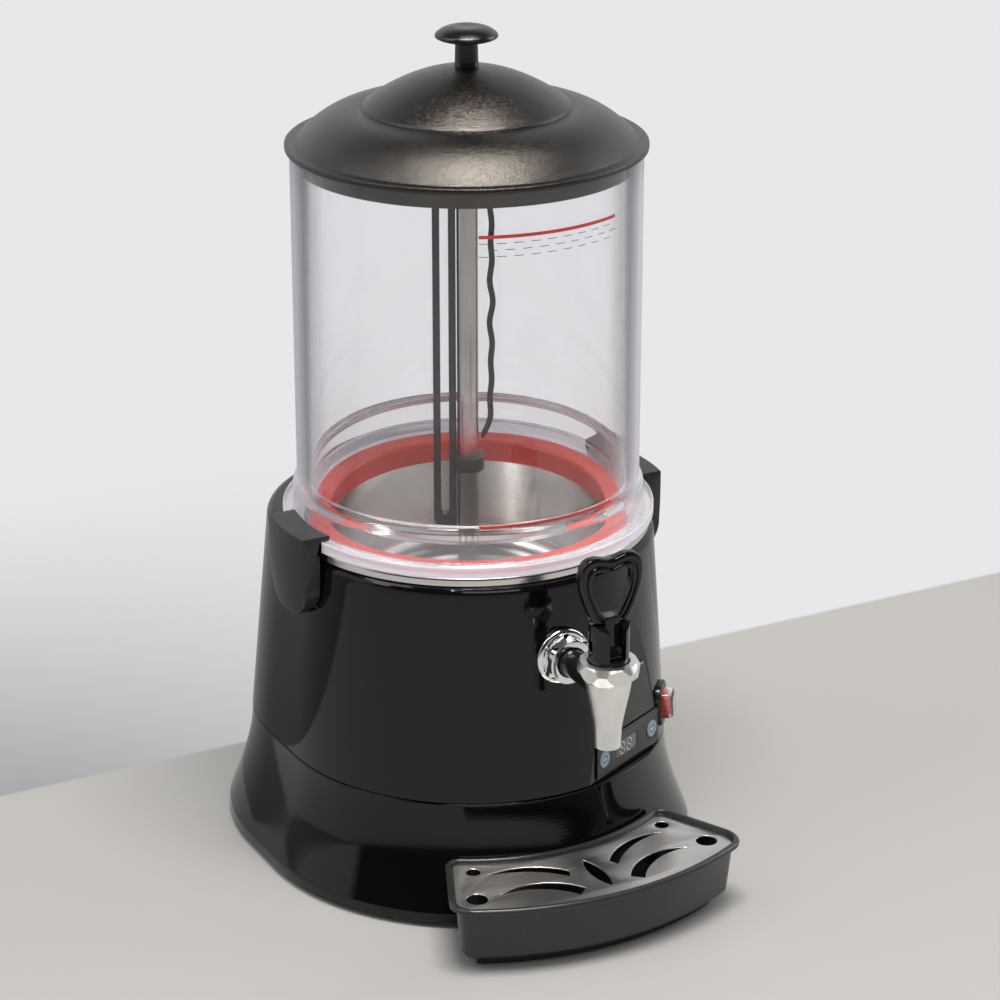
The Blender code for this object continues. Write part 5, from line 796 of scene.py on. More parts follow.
# Each ring of the disc: its share of the radius, and its rise over the stem
DISC_SHARES = ((0.82, 0.0026), (1, 0.0044), (0.97, 0.0066), (0.78, 0.0095))
knob = [(AXIS, knob_low.z), (stem_radius + stem_flare, knob_low.z), (stem_radius, knob_low.z + flare_height),
        (stem_radius - FIT, disc + neck_rise)]
knob += [(knob_radius * share, disc + rise) for share, rise in DISC_SHARES]
knob += [(knob_radius * crown_share, knob_crown), (knob_radius * dip_share, knob_crown - FIT),
         (AXIS, knob_crown - crown_dip)]
reach = [0, 0.0004, 0.001, 0.0012, 0.002, 0.0018, 0.002, 0.004, 0.004, 0.002, 0]
knob = rounded(knob, reach, closed=False)
knob_skin = moulded("knob_grain", (0.0065, 0.0060, 0.0055), 0.22, patches=0.05, grain=1100.0, depth=0.00015,
                    dust=0.04, shift=0.25, dust_tone=(0.42, 0.38, 0.32), ior=1.6)
fitted(skin("mushroom_knob", turned(knob, steps=128), knob_skin, capped=True, crease=40), "lid", "lid_black",
       "lid_knob")

# Tap mounting
# A chromed escutcheon covers the hole in the casing and a chromed nut draws the tap against it. The shank
# between them and the tap's body is blackened brass.

chrome = marked_metal("chrome", (0.94, 0.945, 0.95), (0.86, 0.865, 0.875), 0.10, spread=0.05, depth=0.000003,
                      marks=(260, 260, 260))
tap_low, tap_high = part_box("tap_body")
stem_low, stem_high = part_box("tap_stem")
tap_middle = Vector(((tap_low.x + tap_high.x) / 2, (stem_low.y + stem_high.y) / 2))
shank_low, shank_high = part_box("tap_shank")
tap_z = (shank_low.z + shank_high.z) / 2
shank_radius = (shank_high.z - shank_low.z) / 2
shank_clear = shank_radius + FIT
cover_low, cover_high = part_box("tap_escutcheon")
cover_radius = (cover_high.z - cover_low.z) / 2
cover_sunk, cover_bevel, cover_edge, cover_step = 0.001, 0.0016, 0.0022, 0.0006
rise_share, face_share = 0.80, 0.74
cover_face, cover_back = -cover_low.y, -cover_high.y - cover_sunk
origin = Vector((0, 0))
reach = [0.0003, 0.0004, 0.0012, 0.0006, 0.0006, 0.0006, 0.0003]
cover = rounded([(shank_clear, cover_back), (cover_radius, cover_back),
                 (cover_radius, cover_face - cover_bevel),
                 (cover_radius - cover_edge, cover_face - cover_step),
                 (cover_radius * rise_share, cover_face - cover_step),
                 (cover_radius * face_share, cover_face), (shank_clear, cover_face)], reach)
escutcheon = skin("escutcheon", turned(cover, origin, 128, "Y", tap_z), chrome, joined=True)
fitted(escutcheon, "root", "chrome", "tap_escutcheon")

nut_low, nut_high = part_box("tap_nut")
nut_face, nut_back = -nut_low.y, -nut_high.y
nut_flats = min(nut_high.x - nut_low.x, nut_high.z - nut_low.z)
nut_chamfer, nut_relief, nut_crown, nut_mouth = 0.001, 0.0032, 0.0004, 0.0012
back_share, corner_share, crown_share, face_share = 0.52, 0.58, 0.50, 0.46
turn = np.linspace(0, 2 * np.pi, 240, endpoint=False)
to_flats = hexagon(turn + np.pi / 6, nut_flats / 2)
stations = [(shank_clear, nut_back), (nut_flats * back_share, nut_back),
            (nut_flats * corner_share, nut_back + nut_chamfer),
            (nut_flats * corner_share, nut_face - nut_relief),
            (nut_flats * crown_share, nut_face - nut_crown), (nut_flats * face_share, nut_face),
            (shank_radius + nut_mouth, nut_face), (shank_clear, nut_face - nut_chamfer)]
rings = level_rings([(np.minimum(to_flats, most), -level) for most, level in stations], turn, 0, tap_z)
fitted(skin("tap_hex_nut", rings, chrome, joined=True, crease=20), "root", "chrome", "tap_nut")

shank_black = moulded("shank_black", (0.010, 0.010, 0.011), 0.16, patches=0.05, grain=400.0, depth=0.00001,
                      dust=0.1)
shank_bore, shank_start, shank_end, shank_rounding = 0.006, -shank_high.y, -shank_low.y, 0.0005
groove_depth, groove_start, groove_slope, groove_end, groove_rise = 0.0008, 0.002, 0.001, 0.006, 0.002
groove_from, groove_to = nut_face + groove_start, shank_end - groove_end
shank = rounded([(shank_bore, shank_start), (shank_radius, shank_start), (shank_radius, groove_from),
                 (shank_radius - groove_depth, groove_from + groove_slope),
                 (shank_radius - groove_depth, groove_to),
                 (shank_radius, groove_to + groove_rise), (shank_radius, shank_end), (shank_bore, shank_end)],
                shank_rounding)
inlet = skin("tap_inlet", turned(shank, origin, 96, "Y", tap_z), shank_black, joined=True)
fitted(inlet, "root", "black_satin", "tap_shank")

# Tap body
# A zinc casting with a satin finish: a six-sided collar, cut lens-shaped by the turned cones above and below
# it, runs out into a tapering round spout. It is screwed onto the shank and stops a little off square.

satin_cast = marked_metal("satin_casting", (0.94, 0.935, 0.92), (0.80, 0.795, 0.78), 0.33, spread=0.14,
                          depth=0.00002, marks=(60, 60, 14))
body_top, body_foot = tap_high.z, tap_low.z
half_flats, collar_reach, collar_height, collar_chamfer = 0.01895, 0.0205, 0.013, 0.0008
collar_turn, seat_depth, cone_top, cone_foot, cone_rounding = radians(-11), 0.0108, 0.014, 0.00855, 0.003
spout_bore, chamber, seat_drop, mouth_edge = 0.0064, 0.0092, 0.012, 0.0006
# Each ring of the spout: its share of the height up to the shank, and of the growth from foot to top
SPOUT_SHARES = ((1.0, 1.0), (0.74, 0.615), (0.48, 0.25), (0.35, 0.11), (0.22, 0.055), (0.0, 0.0))
FLAT_SHARES = (0, 0.06, 0.33, 0.67, 0.94, 1)
bonnet_low, bonnet_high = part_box("tap_bonnet")
bonnet_clear = (bonnet_high.x - bonnet_low.x) / 2 + FIT
turn = np.linspace(0, 2 * np.pi, 360, endpoint=False)
to_flats = np.minimum(hexagon(turn - collar_turn, half_flats), collar_reach)
collar_foot, seat_z = body_top - collar_height, tap_z - seat_drop
# Round cones above and below the collar: each meets the flats where its radius is the hexagon's
upper_share, lower_share, foot_share, widest_share, low_share = 1.01, 0.98, 0.80, 0.33, 0.93
foot_radius = half_flats * foot_share
widest, lower_z = body_top - collar_height * widest_share, body_top - collar_height * low_share
upper_level = np.interp(to_flats, [half_flats * upper_share, collar_reach],
                        [body_top - collar_chamfer, widest])
lower_level = np.interp(to_flats, [half_flats * lower_share, collar_reach], [lower_z, widest])
cone = [(foot_radius, collar_foot)]
cone += [(cone_foot + (cone_top - cone_foot) * growth, body_foot + (tap_z - body_foot) * up)
         for up, growth in SPOUT_SHARES]
mouth = [(bonnet_clear, body_top - seat_depth), (bonnet_clear, body_top - mouth_edge),
         (bonnet_clear + mouth_edge, body_top), (half_flats - collar_chamfer, body_top)]
flats = [np.stack([to_flats, upper_level + (lower_level - upper_level) * share], axis=-1)
         for share in FLAT_SHARES]
spout = [(foot_radius + collar_chamfer, collar_foot + collar_chamfer / 3),
         *rounded(cone, cone_rounding, closed=False)]
bore = [(cone_foot - mouth_edge, body_foot), (spout_bore, body_foot + mouth_edge), (spout_bore, seat_z),
        (chamber, seat_z), (chamber, body_top - seat_depth)]
rows = np.array([np.broadcast_to(row, (len(turn), 2)) for row in (*mouth, *flats, *spout, *bore)])
body_grid = np.stack([tap_middle.x + rows[..., 0] * np.cos(turn), tap_middle.y + rows[..., 0] * np.sin(turn),
                      rows[..., 1]], axis=-1)
body = skin("tap_casting", body_grid, satin_cast, joined=True, crease=22)
fitted(body, "root", "satin_steel", "tap_body")

# Tap bonnet, stem and lever
# A glossy black cap screws into the body and cradles the lever. The lever is one glossy moulding, a heart
# with a rounded ridge round its opening, on a hub that turns on a pin and lifts the valve's stem.

lever_black = moulded("lever_black", (0.004, 0.004, 0.004), 0.08, patches=0.03, grain=240.0, depth=0.00002,
                      dust=0.04)
coat(lever_black, "tap_bonnet")
coat(rubber, "tap_stem")
coat(chrome, "tap_pin")
lever_low, lever_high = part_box("tap_lever")
pin_low, pin_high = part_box("tap_pin")
pin_z = (pin_low.z + pin_high.z) / 2
heart_half, heart_height, heart_thickness = (lever_high.x - lever_low.x) / 2, 0.045, 0.008
heart_low = lever_high.z - heart_height
# The heart's outline and opening, as shares of its half width and height
HEART_SHARES = ((0.00, 0.94), (0.22, 0.965), (0.46, 1.00), (0.76, 0.985), (0.95, 0.89), (1.00, 0.71),
                (0.96, 0.52), (0.84, 0.33), (0.69, 0.14), (0.56, 0.00))
HEART_HOLE_SHARES = ((0.00, 0.705), (0.17, 0.745), (0.35, 0.775), (0.52, 0.765), (0.62, 0.71), (0.655, 0.62),
                     (0.61, 0.48), (0.48, 0.31), (0.30, 0.15), (0.06, 0.035))
# The front of its section, as shares of the way from outline to opening and of half the thickness
RIDGE_SHARES = ((0.0, 0.45), (0.04, 0.86), (0.22, 1.0), (0.44, 0.97), (0.50, 0.66), (0.60, 0.66), (0.66, 1.0),
                (0.90, 1.0), (1.0, 0.5))
ridge_rounding_share = 0.12


def smooth_loop(shares):
    """The heart's right half and its mirror as one loop, smoothed by a parabola at every point."""
    right = np.array(shares) * [heart_half, heart_height] + [0, heart_low]
    return rounded(np.concatenate([right[::-1], (right * [-1, 1])[1:]]), heart_height, steps=6)


heart, heart_hole = smooth_loop(HEART_SHARES), smooth_loop(HEART_HOLE_SHARES)
front = np.array(RIDGE_SHARES)
ridge = rounded(np.concatenate([front, (front * [1, -1])[::-1]]), ridge_rounding_share, steps=3)
flat_loops = heart[None] + (heart_hole - heart)[None] * ridge[:, :1, None]
depths = np.broadcast_to(tap_middle.y - ridge[:, 1:] * heart_thickness / 2, flat_loops.shape[:2])
heart_grid = np.stack([tap_middle.x + flat_loops[..., 0], depths, flat_loops[..., 1]], axis=-1)
hub_half, heart_lap, toe_reach, toe_height, hub_corner = 0.005, 0.004, 0.009, 0.0025, 0.001
slot_half, hub_edge, hub_end_share = 0.0052, 0.0008, 0.88
hub_top = heart_low + heart_lap - pin_z
hub = rounded([(hub_half, hub_top), (hub_half, -hub_half), (-toe_reach, -hub_half), (-toe_reach, -toe_height),
               (-hub_half, toe_height), (-hub_half, hub_top)], [hub_corner, hub_half, *[hub_corner] * 4])
ends = np.array([-slot_half, hub_edge - slot_half, slot_half - hub_edge, slot_half])
shrink = np.array([hub_end_share, 1, 1, hub_end_share])[:, None, None]
hub_middle = hub.mean(axis=0)
hub_rows = hub_middle + (hub - hub_middle)[None] * shrink
hub_grid = np.stack([np.broadcast_to(tap_middle.x + ends[:, None], hub_rows.shape[:2]),
                     tap_middle.y + hub_rows[..., 0], pin_z + hub_rows[..., 1]], axis=-1)
lever = skin("heart_ring", heart_grid, lever_black, joined=True, crease=50)
fitted(lever, "tap_lever", "black_gloss", "tap_lever")
fitted(skin("lever_hub", hub_grid, lever_black, capped=True), "tap_lever", "black_gloss")

# Control facet
# A grey printed film carries a display behind a window and two buttons. Above it a plate of the same film
# has a bright line along its top and nothing on it.

film = moulded("panel_film", (0.024, 0.0245, 0.026), 0.32, patches=0.05, grain=900.0, depth=0.00002,
               dust=0.10)
pane_grey = moulded("display_pane", (0.12, 0.125, 0.13), 0.14, patches=0.04, grain=300.0, depth=0.000004,
                    dust=0.05)
pale_ink = moulded("pale_ink", (0.55, 0.58, 0.60), 0.4, grain=900.0, depth=0.000005, dust=0.05)
button_film = moulded("button_film", (0.16, 0.24, 0.33), 0.34, patches=0.05, grain=900.0, depth=0.00002,
                      dust=0.08)
bright_line = marked_metal("bright_line", (0.78, 0.78, 0.77), (0.6, 0.6, 0.6), 0.22, marks=(400, 400, 400))
panel_low, panel_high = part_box("control_panel")
panel_z = (panel_low.z + panel_high.z) / 2
panel_width, panel_height, film_thickness = 0.074, panel_high.z - panel_low.z, 0.0012
outward = Vector((np.sin(facet_turn), -np.cos(facet_turn), 0))
print_thickness, print_edge = 0.0001, 0.00002


def on_facet(level, out, shift=0):
    """The frame of a plate on the facet, from its level, its distance out and its shift to the right."""
    middle = Vector((*MIDDLE, level)) + outward * (facet_out + out)
    return upright(facet_turn, middle) @ Matrix.Translation((shift, 0, 0))


def printed(name, outlines, level, out, shift=0, body="root", ink=pale_ink):
    """A print on the facet, thin but for its rounded edge."""
    made = stamped(name, outlines, print_thickness, print_edge, ink, on_facet(level, out, shift))
    fitted(made, body, "panel_grey")


def moved(grid, place):
    """A grid of points carried from its own axes into this frame."""
    place = np.array(place)
    return grid @ place[:3, :3].T + place[:3, 3]


def round_outline(radius, middle=(0, 0), steps=48):
    turn = np.linspace(0, 2 * np.pi, steps, endpoint=False)
    return np.stack([middle[0] + radius * np.cos(turn), middle[1] + radius * np.sin(turn)], axis=-1)


window_width, window_height, window_shift, button_spread, button_radius = 0.0245, 0.0115, -0.003, 0.029, 0.006
film_corner, film_edge, pane_gap, pane_corner, pane_rise = 0.0012, 0.0002, 0.0006, 0.001, 0.0002
front_out, film_middle = FIT + film_thickness, FIT + film_thickness / 2
openings = [round_outline(button_radius + FIT, (side * button_spread, 0)) for side in (-1, 1)]
panel = stamped("control_film", [box_outline(panel_width, panel_height, film_corner),
                                 box_outline(window_width, window_height, film_corner, (window_shift, 0)),
                                 *openings], film_thickness, film_edge, film, on_facet(panel_z, film_middle))
fitted(panel, "root", "panel_grey", "control_panel")
pane = stamped("display_glass", [box_outline(window_width - pane_gap, window_height - pane_gap, pane_corner)],
               film_thickness, film_edge, pane_grey, on_facet(panel_z, film_middle + pane_rise, window_shift))
fitted(pane, "root", "clear_plastic", "display_window")

# Two figures, each of seven bars
segment, digit_width, digit_height, digit_lean, digit_rise = 0.0009, 0.0046, 0.0080, 0.0006, 0.00045
digit_shifts, end_share, corner_share = (-0.0045, 0.0035), 1.4, 0.476
BAR_PLACES = ((0, 0), (1, 0), (2, 0), (0.5, -1), (0.5, 1), (1.5, -1), (1.5, 1))
bars = []
for digit in digit_shifts:
    for row, column in BAR_PLACES:
        place = (window_shift + digit + column * digit_width / 2 + (row - 1) * digit_lean,
                 (row - 1) * digit_height / 2)
        long = digit_height / 2 - end_share * segment
        size = (digit_width - 2 * segment, segment) if column == 0 else (segment, long)
        bars.append(box_outline(*size, segment * corner_share, place, steps=2))
for number, bar in enumerate(bars):
    printed(f"digit_bar_{number}", [bar], panel_z, front_out + digit_rise)

# Each button has a raised edge, a printed ring and a minus or a plus sign
cap_foot, cap_side, cap_crest, cap_face, cap_rounding = 0.0010, 0.0006, 0.0009, 0.0005, 0.0003
crest_share, face_share, ring_share, ring_hole_share = 0.86, 0.8, 0.76, 0.64
stroke, sign_rounding = 0.0012, 0.0001
cap = rounded([(AXIS, cap_foot), (button_radius, cap_foot), (button_radius, front_out + cap_side),
               (button_radius * crest_share, front_out + cap_crest),
               (button_radius * face_share, front_out + cap_face), (AXIS, front_out + cap_face)],
              cap_rounding, closed=False)
quarter = np.array([(-1, -3), (1, -3), (1, -1)]) * stroke / 2
across = np.stack([-quarter[:, 1], quarter[:, 0]], axis=-1)
plus = rounded(np.concatenate([quarter, across, -quarter, -across]), sign_rounding, 2)
minus = box_outline(3 * stroke, stroke, 2 * sign_rounding)
ring = [round_outline(button_radius * ring_share), round_outline(button_radius * ring_hole_share)]
for body, side, sign in (("button_left", -1, minus), ("button_right", 1, plus)):
    shift = side * button_spread
    grid = moved(turned(cap, origin, 96), on_facet(panel_z, 0, shift))
    fitted(skin(body + "_cap", grid, button_film, capped=True), body, "button_blue", body)
    printed(body + "_ring", ring, panel_z, front_out + cap_side, shift, body)
    printed(body + "_sign", [sign], panel_z, front_out + cap_side, shift, body)

plate_low, plate_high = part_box("name_plate")
plate_height, plate_foot, plate_top, plate_sheet = plate_high.z - plate_low.z, 0.064, 0.038, 0.0008
plate_corner, plate_bevel, line_inset, line_width, line_corner, line_drop, line_rise = (
    0.002, 0.00015, 0.003, 0.0009, 0.0003, 0.0014, 0.00004)
corners = np.array([(-plate_foot, -plate_height), (plate_foot, -plate_height), (plate_top, plate_height),
                    (-plate_top, plate_height)]) / 2
bare = stamped("bare_plate", [rounded(corners, plate_corner)], plate_sheet, plate_bevel, film,
               on_facet((plate_low.z + plate_high.z) / 2, FIT + plate_sheet / 2))
fitted(bare, "root", "panel_grey", "name_plate")
printed("plate_line", [box_outline(plate_top - line_inset, line_width, line_corner)],
        plate_high.z - line_drop, FIT + plate_sheet + line_rise, ink=bright_line)

# Rocker switch
# A black moulded bezel snaps into the casing and holds a red rocker. A soft clear cover keeps splashes out.

bezel_black = moulded("bezel_black", (0.012, 0.012, 0.012), 0.22, grain=900.0, depth=0.00002, dust=0.1)
rocker_red = moulded("rocker_red", (0.50, 0.012, 0.012), 0.22, patches=0.04, grain=400.0, dust=0.05,
                     transmission_weight=0.2)
cover_clear = clear("cover_clear", (0.96, 0.93, 0.93), roughness=0.08, ripple=0.00005, ior=1.42)
switch_turn = radians(50)
rocker_low, rocker_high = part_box("switch_rocker")
switch_z = (rocker_low.z + rocker_high.z) / 2
lean = (seam_half - deck_half) / (casing_top - shell_high.z)
switch_half = casing_half(switch_z)
switch_out = Vector((np.sin(switch_turn), -np.cos(switch_turn), lean)).normalized()
switch_across = Vector((0, 0, 1)).cross(switch_out).normalized()
switch_up = switch_out.cross(switch_across)
switch_place = Vector((switch_half * np.sin(switch_turn), plan_front - switch_half * np.cos(switch_turn),
                       switch_z))
switch_frame = (Matrix.Translation(switch_place)
                @ Matrix((switch_across, switch_up, switch_out)).transposed().to_4x4())
bezel_width, bezel_height, bezel_face, bezel_corner = 0.025, 0.0290, 0.003, 0.009
well_width, well_height, well_play, well_corner = 0.0160, 0.0178, 0.001, 0.0022
rocker_play, rocker_corner, cover_lap, cover_corner, cover_rise, cover_wall = (
    0.0012, 0.0018, 0.002, 0.007, 0.0098, 0.0008)
# Each ring: its share of the outline, and its level over the bezel's face, the casing or the cover's top
BEZEL_RINGS = ((1, -0.005), (1, -0.0014), (0.975, -0.0004), (0.93, 0))
WELL_RINGS = ((1.02, 0), (1, -0.0006), (1, -0.0065), (0.5, -0.0068), (0.5, -0.0078))
BACK_RINGS = ((0.9, -0.0078),)
ROCKER_RINGS = ((0.9, -0.0012), (1, -0.0002), (1, 0.004), (0.97, 0.0048), (0.86, 0.0052))
COVER_RINGS = ((0.99, -0.0032), (0.95, -0.0014), (0.86, -0.0003), (0.4, 0), (0.02, 0))
COVER_INSIDE_RINGS = ((0.02, 0), (0.4, 0), (0.80, -0.0001), (0.87, -0.0016), (0.905, -0.0030))
COVER_FOOT_RINGS = ((0.92, 0.0002), (1, 0.0002))


def stacked(outline, rings, level=0):
    """The outline once for each ring, at the ring's share of its size and height over a level."""
    return [np.concatenate([outline * share, np.full((len(outline), 1), level + rise)], axis=1)
            for share, rise in rings]


outer_line = box_outline(bezel_width, bezel_height, bezel_corner)
well_line = box_outline(well_width + well_play, well_height + well_play, well_corner)
grid = np.array([*stacked(outer_line, BEZEL_RINGS, bezel_face), *stacked(well_line, WELL_RINGS, bezel_face),
                 *stacked(outer_line, BACK_RINGS, bezel_face)])
bezel = skin("switch_frame", moved(grid, switch_frame), bezel_black, joined=True, crease=35)
fitted(bezel, "root", "black_satin", "switch_bezel")

# The rocker's face is dished and rises towards its lower end
dip_start, dip_height, dip_slope, dip_lift = 0.001, 0.006, 0.0030, 0.0008
rocker_line = box_outline(well_width - rocker_play, well_height - rocker_play, rocker_corner)
grid = np.array(stacked(rocker_line, ROCKER_RINGS))
dip = np.clip((grid[..., 2] + dip_start) / dip_height, 0, 1)
grid[..., 2] += dip * (dip_lift - grid[..., 1] / well_height * dip_slope)
rocker = skin("red_rocker", moved(grid, switch_frame), rocker_red, capped=True)
fitted(rocker, "rocker", "red_plastic", "switch_rocker")

cover_line = box_outline(well_width + cover_lap, well_height + cover_lap, cover_corner)
grid = np.array([*stacked(cover_line, COVER_FOOT_RINGS, bezel_face),
                 *stacked(cover_line, COVER_RINGS, cover_rise),
                 *stacked(cover_line, COVER_INSIDE_RINGS, cover_rise - cover_wall)])
cover = skin("splash_cover", moved(grid, switch_frame), cover_clear, joined=True, crease=50)
fitted(cover, "root", "clear_plastic", "switch_cover")

# Bowl clips
# Two hooked clips of satin black plastic follow the bowl's round. The lip of each lies on the flange, and
# its two cheeks turn on a steel pin in a lug on the casing's side.

clip_black = moulded("clip_black", (0.019, 0.019, 0.020), 0.34, patches=0.05, grain=1300.0, depth=0.00003,
                     dust=0.08)
lip_low = flange_top + FIT
lip_thickness, cheek, clip_wall, tail_radius, lip_inner, clip_reach = 0.003, 0.006, 0.003, 0.005, 0.119, 0.138
clip_corner, shoulder_gap, cheek_step, end_inset, end_share = 0.0216, 0.0012, 0.0004, 0.0005, 0.93
shoulder = flange_radius + shoulder_gap
CLIP_REACH = (0.0005, 0.0008, 0.0010, 0.0080, 0.0022, 0.0012, 0.0040, 0.0010)
pin_half, lug_half, lug_radius, lug_depth, lug_corner_share = 0.0140, 0.0130, 0.003, 0.0115, 0.95


def crossbar(name, outline, half, middle, finish, edge=0.0004, end_share=0.85):
    """A bar of this outline across the machine's depth, with its ends drawn in a little."""
    centre = outline.mean(axis=0)
    rows = []
    for share, y in ((end_share, -half), (1, edge - half), (1, half - edge), (end_share, half)):
        drawn = centre + (outline - centre) * share
        rows.append(np.stack([drawn[:, 0], np.full(len(drawn), middle + y), drawn[:, 1]], axis=-1))
    return skin(name, np.array(rows), finish, capped=True, crease=35)


for name, side in (("left", -1), ("right", 1)):
    clip_low, clip_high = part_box("clip_" + name)
    clip_half = (clip_high.y - clip_low.y) / 2
    clip_middle = (clip_low.y + clip_high.y) / 2
    pin_low, pin_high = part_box("clip_pin_" + name)
    pin_z = (pin_low.z + pin_high.z) / 2
    pin_x = abs(pin_low.x + pin_high.x) / 2
    top, bend = clip_high.z, casing_top - lip_thickness
    # Stations along the width, closer at the ends and doubled where the cheeks give way to the thin wall
    inner_end = clip_half - cheek
    y = np.sort(np.concatenate([clip_half * np.sin(np.linspace(-np.pi / 2, np.pi / 2, 48)),
                                [-inner_end - cheek_step, -inner_end, inner_end, inner_end + cheek_step]]))
    past = np.clip(np.abs(y) - (clip_half - clip_corner), 0, clip_corner)
    tail = clip_low.z + clip_corner - np.sqrt(clip_corner**2 - past**2)
    deep = np.abs(y) > inner_end + cheek_step / 2
    sections = []
    for tail_z, solid in zip(tail, deep):
        face, cheek_back = (np.interp(tail_z, [clip_low.z, bend], ends)
                            for ends in ([pin_x + tail_radius, clip_reach], [pin_x - tail_radius, shoulder]))
        back, under = (cheek_back, shoulder) if solid else (face - clip_wall, clip_reach - clip_wall)
        corners = [(lip_inner, lip_low), (lip_inner, top), (clip_reach, top), (clip_reach, bend),
                   (face, tail_z), (back, tail_z), (under, bend), (under, lip_low)]
        sections.append(rounded(corners, CLIP_REACH, steps=5))
    sections = np.array(sections)
    # The two end faces are drawn in a little, which rounds their edges
    ends = sections[[0, -1]].mean(axis=1, keepdims=True)
    drawn = ends + (sections[[0, -1]] - ends) * end_share
    sections = np.concatenate([drawn[:1], sections, drawn[1:]])
    y = np.clip(y, end_inset - clip_half, clip_half - end_inset)
    y = np.concatenate([[-clip_half], y, [clip_half]])[:, None]
    out = np.sqrt(sections[..., 0] ** 2 - y**2)
    grid = np.stack([side * out, np.broadcast_to(clip_middle + y, out.shape), sections[..., 1]], axis=-1)
    hook = skin(f"clip_{name}_hook", grid, clip_black, capped=True, crease=38)
    fitted(hook, "clip_" + name, "black_satin", "clip_" + name)
    # The pin and its lug end short of the clip's rounded lower corners
    pin_line = round_outline(pin_high.z - pin_z, (side * pin_x, pin_z), 32)
    fitted(crossbar(f"clip_{name}_axle", pin_line, pin_half, clip_middle, shaft_steel), "root", "steel",
           "clip_pin_" + name)
    lug_back, lug_front = side * (pin_x - lug_depth), side * (pin_x + lug_radius)
    lug_line = rounded([(lug_back, pin_z - lug_radius), (lug_back, pin_z + lug_radius),
                        (lug_front, pin_z + lug_radius), (lug_front, pin_z - lug_radius)],
                       lug_radius * lug_corner_share)
    fitted(crossbar(f"clip_{name}_lug", lug_line, lug_half, clip_middle, clip_black), "root", "black_satin",
           "clip_mount_" + name)

# Drip tray
# A pan of satin black plastic with splayed sides, a rolled rim and a recessed foot stands against the base.
# Its inner ledge carries the grid.

tray_black = moulded("tray_black", (0.026, 0.026, 0.028), 0.30, patches=0.06, grain=1100.0, depth=0.00003,
                     dust=0.2)
tray_low, tray_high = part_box("drip_tray")
tray_outer = MIDDLE.y - tray_low.y
tray_inner, tray_half_angle, tray_side_half = 0.14368, radians(24.5), 0.0265
outer_corner, inner_corner, least_corner = 0.017, 0.010, 0.003
along = np.array([np.sin(tray_half_angle), -np.cos(tray_half_angle)])
inward = np.array([-np.cos(tray_half_angle), -np.sin(tray_half_angle)])


def tray_plan(inset, rear_inset, level, corner_steps=14, arc_steps=40):
    """The tray's plan drawn in: two arcs about the bowl's axis joined by splayed sides with round corners."""
    outer = tray_outer - inset
    inner = tray_inner + rear_inset
    big = max(outer_corner - inset, least_corner)
    small = max(inner_corner - inset, least_corner)
    start = np.array([tray_side_half, 0]) + inward * inset

    def on_side(depth, radius):
        place = start + inward * depth
        back = place @ along
        return place + along * (-back + np.sqrt(back**2 - place @ place + radius**2))

    far = on_side(big, outer - big)
    near = on_side(small, inner + small)

    def corner_line(middle, radius, first, last):
        begin, finish = np.arctan2(first[1], first[0]), np.arctan2(last[1], last[0])
        turn = begin + ((finish - begin + np.pi) % (2 * np.pi) - np.pi) * np.linspace(0, 1, corner_steps)
        return middle + radius * np.stack([np.cos(turn), np.sin(turn)], axis=-1)

    reach = np.arctan2(far[0], -far[1]) * np.linspace(0, 1, arc_steps)[:-1]
    rear_reach = np.arctan2(near[0], -near[1]) * np.linspace(1, 0, arc_steps)[1:]
    front = outer * np.stack([np.sin(reach), -np.cos(reach)], axis=-1)
    rear = inner * np.stack([np.sin(rear_reach), -np.cos(rear_reach)], axis=-1)
    right = np.concatenate([front, corner_line(far, big, far, -inward),
                            corner_line(near, small, -inward, -near), rear])
    whole = np.concatenate([right, (right * [-1, 1])[::-1][1:-1]])
    return np.concatenate([whole + np.array(MIDDLE), np.full((len(whole), 1), level)], axis=1)


tray_top, ground_gap = tray_high.z, 0.0085
rim_width, rim_depth, wall, draft, rear_draft, plinth = 0.0045, 0.004, 0.0022, 0.0035, 0.012, 0.010
rim_edge, rim_side, rim_bevel, rim_lip, ledge_depth, ledge_width, ledge_slope = (
    0.0004, 0.0008, 0.0014, 0.0010, 0.0045, 0.004, 0.001)
ledge_z, rim_foot, ledge_in = tray_top - ledge_depth, tray_top - rim_depth, rim_width + ledge_width
side_in, rear_in = rim_width + draft, wall + rear_draft
stations = [(side_in + plinth, rear_in + plinth, 0), (side_in + plinth, rear_in + plinth, ground_gap),
            (side_in + wall, rear_in + wall, ground_gap), (side_in, rear_in, ground_gap + wall),
            (rim_width, wall, rim_foot), (rim_edge, rim_edge, rim_foot), (0, 0, rim_foot + rim_side),
            (0, 0, tray_top - rim_bevel), (rim_bevel, rim_bevel, tray_top),
            (rim_width - rim_lip, rim_width - rim_lip, tray_top), (rim_width, rim_width, tray_top - rim_lip),
            (rim_width, rim_width, ledge_z), (ledge_in, ledge_in, ledge_z),
            (ledge_in + ledge_slope, ledge_in + ledge_slope, ledge_z - wall),
            (side_in + 2 * wall, rear_in + wall, ground_gap + 2 * wall),
            (side_in + 3 * wall, rear_in + 2 * wall, ground_gap + wall)]
reach = [0.0005, 0.0005, 0.0010, 0.0012, 0.0008, 0.0004, 0.0006, 0.0008, 0.0010, 0.0007, 0.0006, 0.0003,
         0.0005, 0.0008, 0.0010, 0.0010]
tray_grid = np.array([tray_plan(*station) for station in rounded(stations, reach, steps=3, closed=False)])
tray = skin("tray_pan", tray_grid, tray_black, capped=True, crease=40)
fitted(tray, "drip_tray", "black_satin", "drip_tray")

# Drip grid
# A stamped plate of brushed stainless steel drops into the tray. Drips drain through its crescents, its leaf
# and the round holes at its corners, whose edges the press has rolled bright.

